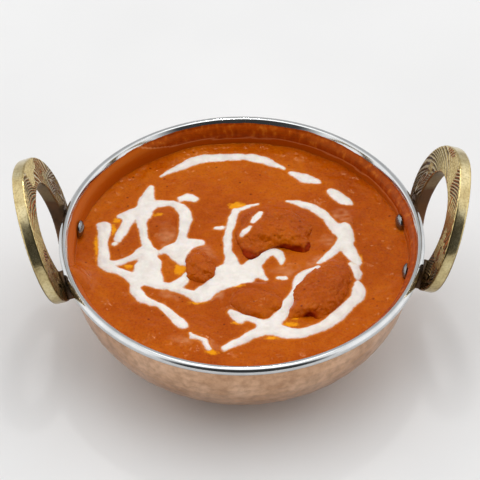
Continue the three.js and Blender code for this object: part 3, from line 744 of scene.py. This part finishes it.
def place_on_handle(plane, depth):
    """Points of the right handle in the dish's frame, from its own plane and depth."""
    lean_sine, lean_cosine = math.sin(HANDLE_LEAN), math.cos(HANDLE_LEAN)
    return np.column_stack([HANDLE_FOOT_X + plane[:, 1] * lean_sine + depth * lean_cosine,
                            plane[:, 0],
                            HANDLE_FOOT_Z + plane[:, 1] * lean_cosine - depth * lean_sine])


def grid_solid(rings):
    """Points and faces of a tube whose rings all have one count, closed at both ends."""
    count, around = rings.shape[:2]
    index = np.arange(count * around).reshape(count, around)
    after = np.roll(index, -1, axis=1)
    quads = np.stack([index[:-1], after[:-1], after[1:], index[1:]], axis=-1).reshape(-1, 4)
    faces = quads.tolist() + [index[0].tolist()[::-1], index[-1].tolist()]
    return rings.reshape(-1, 3), faces


def handle_pad(side):
    """The foot's ledge: the loop's lower end drawn out toward the dish's wall."""
    lines = []
    for loop, grow in ((OUTER_LOOP, -0.5), (INNER_LOOP, 0.5)):
        top = math.asin(((WAIST_HEIGHT - loop["ledge"]) / loop["drop"]) ** (loop["below"] / 2))
        line = loop_line(loop, 40, -foot_angle(loop), -top)
        tangent = np.gradient(line, axis=0)
        normal = np.column_stack([tangent[:, 1], -tangent[:, 0]])
        normal /= np.hypot(*normal.T)[:, None]
        lines.append(line + grow * normal)
    outline = np.vstack([lines[0], lines[1][::-1]]) * (side, 1)
    rings = np.array([place_on_handle(outline, np.full(len(outline), depth))
                      for depth in np.linspace(-LEDGE_REACH, LEDGE_ROOT, 12)])
    return grid_solid(rings if side > 0 else rings[::-1])


def combine(shape, tool, operation):
    joiner = shape.modifiers.new(operation, "BOOLEAN")
    joiner.operation = operation
    joiner.object = tool
    joiner.solver = "MANIFOLD"
    graph = bpy.context.evaluated_depsgraph_get()
    mesh = bpy.data.meshes.new_from_object(shape.evaluated_get(graph))
    shape.modifiers.clear()
    shape.data = mesh
    bpy.data.objects.remove(tool)


def brass_handle():
    """The right handle's mesh, cut to the wall and the rim, with its engraving, and its soot and
    painted shade.
    """
    plane, depth, groove, in_hole = handle_arch()
    points = place_on_handle(plane.reshape(-1, 2), depth.ravel())
    arch_points, arch_faces = grid_solid(points.reshape(*depth.shape, 3))
    shape = mesh_object("handle", arch_points, arch_faces)
    for side in (1, -1):
        combine(shape, mesh_object("pad", *handle_pad(side)), "UNION")
    shares = np.linspace(0.3, 1, 40)
    skin = np.column_stack(wall_point(shares, -TOUCH_GAP))
    reach = RIM_ROLL_RADIUS + TOUCH_GAP
    roll_height = RIM_HEIGHT - RIM_ROLL_RADIUS
    body = np.vstack([[(0, skin[0, 1])], skin,
                      [(RIM_ROLL_CENTRE, SHELL_HEIGHT), (RIM_ROLL_CENTRE, roll_height),
                       (RIM_ROLL_CENTRE + reach, roll_height),
                       (RIM_ROLL_CENTRE + reach, ROOM_TOP), (0, ROOM_TOP)]])
    combine(shape, mesh_object("room", *turned(body, 256)), "DIFFERENCE")
    round_rim = np.linspace(0, 2 * math.pi, 25)[:-1]
    ring = np.column_stack([RIM_ROLL_CENTRE + reach * np.cos(round_rim),
                            roll_height + reach * np.sin(round_rim)])
    combine(shape, mesh_object("rim", *turned(ring, 256, ring=True)), "DIFFERENCE")
    tree = KDTree(len(points))
    for at, point in enumerate(points):
        tree.insert(point, at)
    tree.balance()
    marks = np.column_stack([groove.ravel(), in_hole.ravel()])
    final = points_of(shape.data) / MM
    kept = np.zeros((len(final), 2))
    for at, point in enumerate(final):
        _, nearest, distance = tree.find(point)
        kept[at] = marks[nearest] if distance < MARK_REACH else 0
    groove, in_hole = kept.T
    level = (final[:, 2] - HANDLE_FOOT_Z) / math.cos(HANDLE_LEAN)
    face = HANDLE_FOOT_X + level * math.sin(HANDLE_LEAN)
    behind = step(0.1, 0.9, face - final[:, 0])
    # Painted shade with some soot: dark in the corner over the ledge, under the rim, and thinning
    # out up the face.
    over_ledge = level - OUTER_LOOP["ledge"] - LEDGE_SLOPE * (LEDGE_END - np.abs(final[:, 1]))
    near = step(10, -1, over_ledge + 2.5 * noise(final, 4.0)) * step(15, 3, level)
    # Painted shade also darkens the ledge behind the face and the hole's inner wall.
    soot_and_shade = np.clip(behind + 0.85 * near + 0.75 * in_hole, 0, 1)
    depth = (final[:, 0] - face) * math.cos(HANDLE_LEAN)
    carved = step(0.9, 0.5, depth) + step(HANDLE_THICKNESS - 0.9, HANDLE_THICKNESS - 0.5, depth)
    return shape, {"groove": groove, "soot_and_shade": soot_and_shade, "carved": np.clip(carved, 0, 1)}


def brass_handles():
    shape, marks = brass_handle()
    other = bpy.data.objects.new("handle", shape.data.copy())
    bpy.context.scene.collection.objects.link(other)
    other.data.transform(Matrix.Rotation(math.pi, 4, "Z"))
    for piece, side in ((shape, "right"), (other, "left")):
        piece.name = "brass_handle_" + side
        dress(piece, BRASS, ["handle_" + side])
        for name, values in marks.items():
            give(piece, name, values)


# ---------------------------------------------------------------- the chicken

CHICKEN = [
    {"place": (13.5, 13.5, 37.6), "half": (16, 12, 6.8), "turn": 0.06,
     "lobes": [((-0.46, -0.88, 0.1), 6.4, 14), ((0.5, -0.86, 0), 2.6, 16),
               ((0.02, -0.99, 0.1), -2.6, 30)]},
    {"place": (31.5, -22.5, 37), "half": (17.6, 10.2, 5.9), "turn": 0.98,
     "lobes": [((-0.9, 0.4, 0.1), 2.2, 14), ((-0.92, -0.3, 0.25), -2, 26)]},
    {"place": (-17.3, -6, 36.6), "half": (7, 9, 5.4), "turn": 0.2, "lobes": []},
    {"place": (4.6, -27, 36.4), "half": (11.4, 9.2, 5.2), "turn": -0.2, "lobes": [],
     "torn": 0.25},
]
CHICKEN_FINENESS = 7
# Torn lumps of the meat: height, size and seed.
LUMPS = ((0.5, 7, 9), (0.45, 3.4, 4), (0.26, 1.5, 7), (0.1, 0.75, 8))
CREASE_DEPTH = 0.28
# Cream lies only on what stands this far out of the sauce.
CREAM_FLOOR = 1.5
# Where the meat shows dark red-brown, partly its roasted edge and partly painted shade under its
# near edges: place and reach.
CHAR_AND_SHADE = [((1.5, -3, 38), 6.5), ((7, 1, 38), 4), ((18, 3.5, 39), 4), ((23, 2.5, 39), 4),
           ((27.5, 3, 39), 3.2), ((26, -33.5, 39), 4.6)]


def chicken_form(way, seed, half, lobes):
    """A torn, flattened lump over the directions of a unit ball."""
    waves = (np.sin(4.1 * way[:, 0] + 2 * seed) * np.sin(3.3 * way[:, 1] + seed)
             + 0.6 * np.sin(6.7 * way[:, 1] - 1.7 * seed + 3 * way[:, 0]))
    local = np.sign(way) * np.abs(way) ** 0.88
    local *= np.column_stack([1 + 0.085 * waves, 1 + 0.085 * waves, 1 + 0.05 * waves])
    local *= half
    for toward, push, tightness in lobes:
        lobe = np.array(toward) / math.hypot(*toward)
        local += np.outer(push * np.exp(tightness * (way @ lobe - 1)), lobe)
    return local


def chicken_piece(index):
    piece_sizes = CHICKEN[index]
    seed = index + 1
    ball = bmesh.new()
    bmesh.ops.create_icosphere(ball, subdivisions=CHICKEN_FINENESS, radius=1)
    mesh = bpy.data.meshes.new("chunk")
    ball.to_mesh(mesh)
    ball.free()
    way = points_of(mesh)
    local = chicken_form(way, seed, piece_sizes["half"], piece_sizes["lobes"])
    # Under its coat of sauce the meat is torn into soft lumps with creases between them.
    torn = swells(local, [(height, size, seed + more) for height, size, more in LUMPS])
    creases = 1 - 2 * np.abs(noise(local, 3.0, seed + 5))
    torn -= CREASE_DEPTH * np.clip(creases, 0, 1) ** 3
    local += way * torn[:, None] * piece_sizes.get("torn", 1)
    cosine, sine = math.cos(piece_sizes["turn"]), math.sin(piece_sizes["turn"])
    x, y, z = piece_sizes["place"]
    placed = np.column_stack([x + cosine * local[:, 0] - sine * local[:, 1],
                              y + sine * local[:, 0] + cosine * local[:, 1], z + local[:, 2]])
    mesh.vertices.foreach_set("co", (placed * MM).ravel())
    mesh.update()
    piece = bpy.data.objects.new("chicken_%d_meat" % seed, mesh)
    bpy.context.scene.collection.objects.link(piece)
    dress(piece, MEAT, ["chicken_%d" % seed])
    spots = np.full(len(placed), NO_MARK)
    for line in CREAM_ON_MEAT:
        rows = smooth_line(line)
        spots = np.minimum(spots, to_segments(placed[:, :2], rows[:, :2], rows[:, 2]))
    above = placed[:, 2] > SAUCE_LEVEL + CREAM_FLOOR
    give(piece, "cream", np.where(above, spots, NO_MARK))
    patch = noise(placed, 6.0, seed)
    away = np.full(len(placed), NO_MARK)
    for place, reach in CHAR_AND_SHADE:
        from_place = np.linalg.norm((placed - place) / (1, 1, 0.6), axis=1) / reach
        away = np.minimum(away, from_place)
    # The dark red-brown lies only on the near side: partly char, partly painted shade under the
    # overhanging edges.
    facing = step(0.15, -0.35, way[:, 1] * cosine + way[:, 0] * sine)
    give(piece, "char_and_shade", step(1.15, 0.6, away + 0.3 * patch) * facing)
    give(piece, "bare", 0.12 * step(0.1, 0.7, noise(placed, 4.0, seed + 2)))
    return piece


# ---------------------------------------------------------------- the sauce and its cream

CREAM_ON_MEAT = [
    [(5.4, 15.4, 1.2), (7.0, 17.6, 1.7), (8.6, 19.9, 1.0)],
    [(0.6, 9.6, 1.1), (1.9, 10.4, 1.6), (3.4, 11.6, 1.1)],
]

CREAM = [
    [(-32.8, 49.1, 0.5), (-27.6, 52.7, 1.3), (-22, 55.9, 1.9), (-16.3, 59.2, 2.2),
     (-10.3, 60.2, 2), (-3.4, 60.2, 1.9), (3.1, 59.9, 1.9), (8.6, 58.7, 2.2), (12.8, 57, 2.1),
     (16.5, 54.6, 1.3), (20.3, 52.2, 0.5)],
    [(23.3, 49.6, 1.2), (26.4, 47.5, 2.2), (29.7, 45.2, 2.6), (33, 43.2, 2), (34.4, 41.9, 1)],
    [(39.3, 35.8, 1.6), (42.1, 33.8, 2.7), (44.7, 31.5, 2.5), (46.9, 29.6, 1.2)],
    [(-36.4, 42.4, 1.1), (-37.7, 38.8, 2.4), (-39, 34.5, 3.2), (-38.7, 30.8, 3.4)],
    [(-24.2, 35.4, 1.6), (-21.3, 35.9, 2.2), (-18.6, 34.2, 1.7)],
    [(-37.4, 32.6, 2.6), (-33.1, 33, 2), (-28.9, 32.5, 1.7), (-25.6, 30.6, 2), (-23.2, 27.1, 2.6),
     (-22.5, 22.8, 2.7), (-23.6, 17.4, 2.1), (-24.4, 12.1, 2), (-23.7, 8.5, 3)],
    [(-39.1, 30.8, 3.2), (-40.4, 26, 3), (-40.9, 21.2, 2.2), (-40.6, 15.8, 1.6),
     (-39.8, 10.4, 1.7), (-38.2, 5, 2.2)],
    [(-40.4, 27.8, 3.2), (-44.2, 27.4, 2.6), (-47.5, 26, 2), (-50.9, 24.9, 0.8)],
    [(-45.4, 26.2, 2.4), (-47.2, 21.5, 2.2), (-49.3, 16.1, 2.1), (-51, 11.7, 1.6)],
    [(-52.7, 8.5, 0.9), (-52.2, 8.8, 0.9)],
    [(-56.6, 19.5, 2.6), (-56.6, 15.9, 2.5), (-57.2, 11.1, 2), (-57.2, 5.2, 1.9),
     (-56.8, 0.5, 2.3), (-56.4, -3.6, 2.8), (-54.4, -6, 2.2), (-51.1, -7.3, 1.8), (-48.3, -8.9, 2),
     (-45.8, -11, 2.6)],
    [(-58.7, 20.5, 1.2), (-58, 18.9, 1.4)],
    [(-53.6, -3.2, 1.2), (-49.4, -1.6, 1.2), (-45.3, 0.6, 1.5), (-40.7, 3.9, 2.4),
     (-37.8, 3.2, 2.8)],
    [(-37.9, 2.6, 3), (-39.2, -2.6, 4), (-40.5, -7.2, 4.2), (-41.7, -11.2, 4)],
    [(-35.5, -2.8, 2.6), (-37.2, -7.3, 3.6), (-36, -11.4, 3.2)],
    [(-43, -12.3, 3), (-44.1, -16.3, 2.3), (-43.5, -19.7, 2.3), (-41.5, -22.9, 2.2),
     (-38.3, -25.3, 1.8), (-35.1, -26.9, 1.2), (-33.1, -28.1, 0.7)],
    [(-33.9, -27.5, 1), (-31.1, -31, 1.9), (-28.4, -34.4, 2.2), (-26.1, -37.9, 2.5),
     (-25.3, -39.3, 1.9)],
    [(-33.3, 3.3, 1), (-29.1, 5.8, 2), (-24.5, 7.3, 3), (-20.4, 8, 3), (-17.4, 8.2, 2.3)],
    [(-22.9, 5.5, 3.2), (-24.7, 1.4, 3), (-25.2, -2, 2), (-24, -5, 1)],
    [(-29.2, 4, 2.2), (-27.6, 0.4, 2.2)],
    [(-38.1, -12.5, 3.2), (-34.1, -15.5, 2.6), (-30, -16.6, 2.2), (-26.7, -15.3, 2.4),
     (-24.2, -13.1, 2), (-22.9, -10.3, 0.9)],
    [(-29.2, -17.5, 1.5), (-25.2, -19.4, 1.7), (-22, -21.2, 2.2), (-18.8, -22.8, 2.9),
     (-15.5, -22.1, 2.9), (-13.4, -19.9, 2.1)],
    [(-17.9, -18.5, 1), (-15, -16.9, 1.5), (-12, -14.8, 2.1), (-9.5, -12.6, 3)],
    [(-11, -9.6, 1.6), (-8.6, -9.7, 3.4), (-5.3, -9.3, 4.6), (-2, -10, 4.8), (1.2, -10.4, 4.4),
     (4.1, -9.7, 3.8), (6.2, -10.4, 2.4), (9.3, -14, 1)],
    [(-17.9, -20, 1.8), (-13, -19.1, 2.3), (-7.2, -17.1, 2.4), (-1.4, -15, 2.4), (2.3, -14.5, 2)],
    [(3, -7.9, 3.2), (5.6, -4, 3), (8.7, -0.3, 2.4), (11.7, 1.6, 2.1), (14.6, 1.2, 2.1),
     (16, -2.1, 1.7), (16.1, -5, 0.9)],
    [(-1.3, 26.8, 1.3), (-2.8, 22.6, 1.8), (-3.8, 17.8, 1.8), (-5, 13, 1.6), (-5.6, 8.3, 1.5),
     (-5.6, 3.6, 1.7), (-4.9, -0.6, 2.2), (-4.3, -4.1, 3)],
    [(-1.3, 27.4, 0.9), (1.7, 28.5, 1.1), (4.7, 29.6, 0.9), (7.7, 30.4, 0.6)],
    [(5.2, 16.8, 1.1), (6.7, 19.4, 1.4), (8.5, 21.8, 1)],
    [(-0.3, 10.5, 1.1), (1.4, 11.7, 1.5), (3.3, 13.3, 1)],
    [(-10.1, 16.6, 1), (-8, 16.5, 1)],
    [(20.8, 31.6, 0.8), (24.6, 30.2, 1.5), (28.2, 28.2, 2), (31.9, 26.3, 2.2), (35.1, 23.4, 2.2),
     (37.3, 19.6, 2.1), (39.5, 14.7, 2.3), (41.8, 12.2, 2.9)],
    [(43.2, 14, 2.9), (43.9, 9.1, 3.2), (43.4, 5, 3), (44.7, 0.8, 2.8), (46.1, -3.4, 2.4),
     (47.5, -6.3, 1.4)],
    [(41.2, 3.9, 2.4), (38.1, 1.1, 1.9), (35.4, -2.3, 1.7), (32.8, -5.1, 1.4), (31.4, -6.5, 0.8)],
    [(44.1, -7.4, 1), (46, -9.5, 1.7), (47, -12.7, 1.9), (46.8, -15.6, 1.1)],
    [(46.5, -19.3, 1.7), (46.5, -22.4, 2.6), (45.6, -26.4, 2.7), (42.5, -29.6, 2.1),
     (40.2, -32.4, 2.5), (38, -35.1, 2.7), (34.6, -38.3, 2.5), (30.7, -41.4, 2.5),
     (27, -43.5, 2.3), (22.9, -45, 2.5), (18.5, -45.3, 2.9), (14.5, -44.1, 3.3),
     (11.4, -42.3, 3.5), (9.5, -41.1, 3.3)],
    [(9.5, -41.1, 3.2), (6.2, -42.6, 2.7), (2.9, -44.7, 2.3), (-0.4, -46.7, 2), (-3.6, -48.5, 1.8),
     (-6.9, -50.5, 1.7), (-9.4, -52.1, 1.2)],
    [(9.6, -40, 3.1), (12.5, -36.8, 2.7), (15.6, -32.4, 2.4), (17.4, -28.6, 2.1),
     (19.7, -24.7, 2.1), (21.5, -21.4, 2), (22.5, -17.4, 2.3), (24.4, -14, 2.3),
     (27.4, -12.2, 1.9), (30.8, -10.3, 1.2)],
    [(14.6, -13.6, 0.9), (17, -14, 1.1)],
    [(-5.8, -32.1, 1.3), (-3.8, -34.1, 1.9), (-1.1, -35.1, 1.9), (1.7, -35.7, 1.6),
     (4.4, -37.8, 1.7), (7.2, -39.9, 2.6)],
    [(-3.5, -35.5, 1.8), (-2.4, -37.2, 1.6)],
    [(-17.2, -48.2, 0.8), (-16.4, -50.4, 1.1), (-15.5, -52.6, 0.9)],
    [(-21.5, -46.4, 0.8), (-19.1, -47, 0.9), (-17.2, -47.9, 0.7)],
    [(-22.6, -44.1, 0.5), (-21.5, -45.8, 0.6)],
]

# Pools of parted oil: place and half sizes.
OIL = [(-0.6, 29.8, 3.6, 2.2), (-59.6, 7.7, 1.0, 7), (-25.7, -7, 2.2, 3.2), (-47, -4.6, 1.4, 1),
       (-34.1, 26, 1.6, 0.8), (-51.3, 22.8, 1.4, 1.4), (-52.8, 17.5, 0.9, 2.4),
       (-18.9, -25.9, 3, 0.8), (10, -47.2, 2.4, 0.9), (20.1, -35.4, 1.2, 2), (18, -39.8, 2.6, 1.1),
       (25.2, -21, 0.9, 2.6), (-4, -38.3, 1.6, 1), (-2.2, -18.6, 1.8, 0.9), (14.6, 2.4, 1.6, 0.8),
       (48.1, -3.4, 1.1, 2), (-14.2, -54.3, 2.2, 1.2)]

# Thin veils of cream that has sunk into the sauce: place, half sizes and turn.
VEILS = [(-26, -47.5, 5.5, 3, -0.4), (-15.5, -50.5, 6, 3, -0.2), (43, 22, 4, 6, 0.3),
         (-12.5, -21, 4, 4.5, 0.3), (30, -6, 5, 3.5, 0.6), (17.5, -9.5, 6, 4, 0.2),
         (-31, -20, 5, 3, -0.5), (-14, 3, 3, 6, 0.2), (-31, 12, 4, 7, 0), (36, 8, 4, 5, 0.4)]

MOUNDS = [(-36, -41, 7, 1.1), (-19, -45, 8, 1.2), (37, 39, 7, 0.9), (48, 19, 6, 0.8),
          (-30, 20, 8, 0.7), (12, -55, 9, 0.7), (-64, -17, 13, 1.6), (-58, 6, 13, 0.6)]

# Ripples in the sauce: height, size and seed.
RIPPLES = ((0.25, 5.5, 0), (0.22, 2.6, 2), (0.1, 1.3, 4))

SAUCE_PARTS = 280
SAUCE_SIDE_ROWS = 12
SAUCE_GAP = 0.05
# How far the hidden side of the sauce draws in from the lining.
SAUCE_DRAW_IN = 0.25
# The sauce clings to the chicken: how high at its middle, how much more beyond, and how wide.
CLING_HEIGHT = 0.8
CLING_RISE = 1.0
CLING_WIDTH = 2.4
CREAM_HEIGHT = 0.6
FURROW_DEPTH = 0.12
RUN_HEIGHT = 8.4
RUN_REACH = 4.2
RUN_WIDTH = 7
RUN_RADIUS = 68.6
COVERED_RIVET_TURN = math.pi + math.asin(RIVET_SIDE / RUN_RADIUS)


def sauce_level(plane):
    """The sauce's surface before the cream: swells, mounds and its climb against the wall."""
    x, y = plane.T
    level = SAUCE_LEVEL + 0.22 * np.sin(x / 7.5 + 1.2) * np.sin(y / 6.4)
    level = level + 0.15 * np.sin(x / 3.9 - y / 5.2)
    for mound_x, mound_y, reach, height in MOUNDS:
        level = level + height * np.exp(-((x - mound_x) ** 2 + (y - mound_y) ** 2) / reach ** 2)
    edge = wall_radius(SAUCE_LEVEL, INSIDE_DEPTH) - np.hypot(x, y)
    level = level + MENISCUS_HEIGHT * np.exp(-np.maximum(edge, 0) / MENISCUS_WIDTH)
    level = level + swells(plane, RIPPLES)
    for chunk in CHICKEN:
        (chunk_x, chunk_y, _), half = chunk["place"], chunk["half"]
        right, ahead = turned_places(plane, chunk_x, chunk_y, chunk["turn"])
        away = np.hypot(right / half[0], ahead / half[1]) - 1
        # The sauce coats the far flank of each chunk higher than the near one.
        climb = CLING_HEIGHT + CLING_RISE * np.clip((y - chunk_y) / half[1], -0.8, 1)
        level = level + climb * np.exp(-np.maximum(away, 0) * half[1] / CLING_WIDTH)
    # A spoonful of sauce has run down the wall over the rivet at the near left.
    around = (np.arctan2(y, x) - COVERED_RIVET_TURN + math.pi) % (2 * math.pi) - math.pi
    sideways = around * np.hypot(x, y)
    run = np.exp(-(np.maximum(edge, 0) / RUN_REACH) ** 2 - (sideways / RUN_WIDTH) ** 2)
    return level + RUN_HEIGHT * run


def cream_distance(plane):
    """Distance from the poured cream's edge, negative inside it."""
    bent = plane + 0.5 * np.column_stack([noise(plane, 3.6, 6), noise(plane, 3.6, 7)])
    bent = bent + 0.1 * np.column_stack([noise(plane, 1.4, 8), noise(plane, 1.4, 9)])
    nearest = np.full(len(plane), 30.0)
    for stroke in CREAM:
        rows = smooth_line(stroke)
        near = np.hypot(*(bent - rows[:, :2].mean(axis=0)).T) < np.ptp(rows[:, :2]) + 12
        gap = to_segments(bent[near], rows[:, :2], rows[:, 2])
        nearest[near] = soft_min(nearest[near], gap, 1.7)
    return nearest


def veil_strength(plane):
    """How much sunken cream lightens the sauce, from 0 to 1."""
    strength = np.zeros(len(plane))
    for x, y, half_x, half_y, turn in VEILS:
        right, ahead = turned_places(plane, x, y, turn)
        away = np.hypot(right / half_x, ahead / half_y) + 0.5 * noise(plane, 2.6, 12)
        strength = np.maximum(strength, step(1.2, 0.4, away))
    streaks = 0.5 + 0.6 * noise(plane * (0.6, 1), 1.3, 13) + 0.4 * noise(plane, 3, 14)
    return np.clip(strength * streaks, 0, 1)


def oil_distance(plane):
    nearest = np.full(len(plane), 30.0)
    for x, y, half_x, half_y in OIL:
        share = np.hypot((plane[:, 0] - x) / half_x, (plane[:, 1] - y) / half_y)
        nearest = np.minimum(nearest, (share - 1) * min(half_x, half_y))
    return nearest


def butter_sauce_piece():
    """The curry as one body: its surface on a fine grid, and its side down the dish's wall."""
    count = SAUCE_PARTS + 1
    line = np.linspace(-1, 1, count)
    across, ahead = np.meshgrid(line, line, indexing="ij")
    disc = np.stack([across * np.sqrt(1 - ahead ** 2 / 2), ahead * np.sqrt(1 - across ** 2 / 2)],
                    axis=-1).reshape(-1, 2)
    reach = wall_radius(SAUCE_LEVEL, INSIDE_DEPTH) - SAUCE_GAP
    plane = disc * reach
    level = sauce_level(plane)
    cream = cream_distance(plane)
    oil = oil_distance(plane)
    veil = veil_strength(plane)
    # The cream stands up from its edge, which presses a small furrow into the sauce.
    level = level + CREAM_HEIGHT * step(0.5, -1.7, cream)
    level = level - FURROW_DEPTH * np.exp(-((cream - 0.6) / 0.5) ** 2)
    index = np.arange(count * count).reshape(count, count)
    faces = np.stack([index[:-1, :-1], index[1:, :-1], index[1:, 1:], index[:-1, 1:]],
                     axis=-1).reshape(-1, 4).tolist()
    border = np.concatenate([index[0, :-1], index[:-1, -1], index[-1, :0:-1], index[:0:-1, 0]])
    # The outer part of the surface spreads to meet the wall, which widens as it rises.
    widen = lining_radius(level) - SAUCE_GAP - reach
    share = np.hypot(*disc.T)
    plane = plane * (1 + (widen * share ** 6 / reach))[:, None]
    points = [np.column_stack([plane, level])]
    rim = points[0][border]
    turn = rim[:, :2] / np.hypot(*rim[:, :2].T)[:, None]
    rings = [border]
    for part in np.linspace(0, 1, SAUCE_SIDE_ROWS)[1:]:
        height = rim[:, 2] * (1 - part) + (INSIDE_DEPTH + TOUCH_GAP) * part
        radius = lining_radius(height) - SAUCE_GAP - SAUCE_DRAW_IN * min(1, part * 5)
        rings.append(np.arange(len(border)) + sum(len(block) for block in points))
        points.append(np.column_stack([turn * radius[:, None], height]))
    for upper, lower in zip(rings, rings[1:]):
        after_up, after_low = np.roll(upper, -1), np.roll(lower, -1)
        faces += np.column_stack([upper, lower, after_low, after_up]).tolist()
    middle = sum(len(block) for block in points)
    points.append(np.array([(0, 0, INSIDE_DEPTH + TOUCH_GAP)]))
    faces += [[int(a), middle, int(b)] for a, b in zip(rings[-1], np.roll(rings[-1], -1))]
    points = np.vstack(points)
    piece = new_piece("butter_sauce", points, faces, SAUCE, ["curry"])
    side = len(points) - len(cream)
    for kept_name, values, beside in (("cream", cream, NO_MARK), ("oil", oil, NO_MARK),
                                      ("veil", veil, 0)):
        give(piece, kept_name, np.concatenate([values, np.full(side, beside)]))
    return piece


# ---------------------------------------------------------------- the table and the light

def white_table():
    material, tree, place = new_material("white_table")
    grain = add(tree, NOISE, Vector=place, Scale=per_metre(90), Detail=2.0)
    tone = add(tree, RAMP, stops=[(0.3, "#E7E7E7"), (0.7, "#EBEBEB")], Fac=grain)
    shader = add(tree, PRINCIPLED, Base_Color=tone, Roughness=0.6, Specular_IOR_Level=0.2)
    add(tree, OUTPUT, Surface=shader)
    points = [(-2600, -1600, 0), (2600, -1600, 0), (2600, 3400, 0), (-2600, 3400, 0)]
    table = mesh_object("table", points, [(0, 1, 2, 3)])
    table.data.materials.append(material)


ROOM_LIGHT = 1.06
# Curtains at the front and the back: side, degrees over the horizon, the cosines where they begin
# and are full, and the share of the light that they leave.
CURTAINS = [(-1, 18, 0.60, 0.86, 0.05), (1, 15, 0.5, 0.9, 0.6)]
# Lamps over the table: place, side in metres and power in watts.
LAMPS = {"soft_box": ((0, 0.05, 1.3), 0.8, 2.6), "spot": ((0.05, 0.5, 1.25), 0.09, 1.2)}


def studio():
    """A white room with a soft box overhead and a small bright lamp behind it. Its back is dimmer,
    and its front, below head height, is dark."""
    world = bpy.data.worlds.new("white_room")
    bpy.context.scene.world = world
    world.use_nodes = True
    tree = world.node_tree
    tree.nodes.clear()
    way = add(tree, PLACE, out="Generated")
    drawn_in = add(tree, VECTORS, {"operation": "MULTIPLY"}, i0=way, i1=(0.9, 1.0, 0.8))
    wide = add(tree, VECTORS, {"operation": "NORMALIZE"}, i0=drawn_in)
    aside = add(tree, "ShaderNodeSeparateXYZ", out="X", Vector=way)
    sides = add(tree, MATHS, {"operation": "ABSOLUTE"}, i0=aside)
    level = add(tree, RANGE, SMOOTHLY, Value=sides, From_Min=0.1, From_Max=0.7,
                To_Min=0.95 * ROOM_LIGHT, To_Max=1.25 * ROOM_LIGHT)
    for seen, (side, lift, edge, middle, left) in zip((wide, way), CURTAINS):
        centre = (0.0, side * math.cos(math.radians(lift)), math.sin(math.radians(lift)))
        toward = add(tree, VECTORS, {"operation": "DOT_PRODUCT"}, out="Value", i0=seen, i1=centre)
        dimmed = add(tree, RANGE, SMOOTHLY, Value=toward, From_Min=edge, From_Max=middle,
                     To_Min=1.0, To_Max=left)
        level = add(tree, MATHS, {"operation": "MULTIPLY"}, i0=level, i1=dimmed)
    light = add(tree, "ShaderNodeBackground", Color=(1.0, 1.0, 1.0, 1.0), Strength=level)
    add(tree, "ShaderNodeOutputWorld", Surface=light)
    for name, (lamp_place, side, watts) in LAMPS.items():
        lamp = bpy.data.lights.new(name, "AREA")
        lamp.size = side
        lamp.energy = watts
        hung = bpy.data.objects.new(name, lamp)
        hung.location = lamp_place
        bpy.context.scene.collection.objects.link(hung)


copper_wall()
steel_lining()
for rivet_name, rivet_side, rivet_foot in (("rivet_right_near", 1, -1), ("rivet_right_far", 1, 1),
                                           ("rivet_left_near", -1, 1), ("rivet_left_far", -1, -1)):
    rivet(rivet_name, rivet_side, rivet_foot)
brass_handles()
butter_sauce_piece()
for chunk in range(len(CHICKEN)):
    chicken_piece(chunk)
white_table()
studio()
bpy.context.scene.view_settings.view_transform = "Standard"
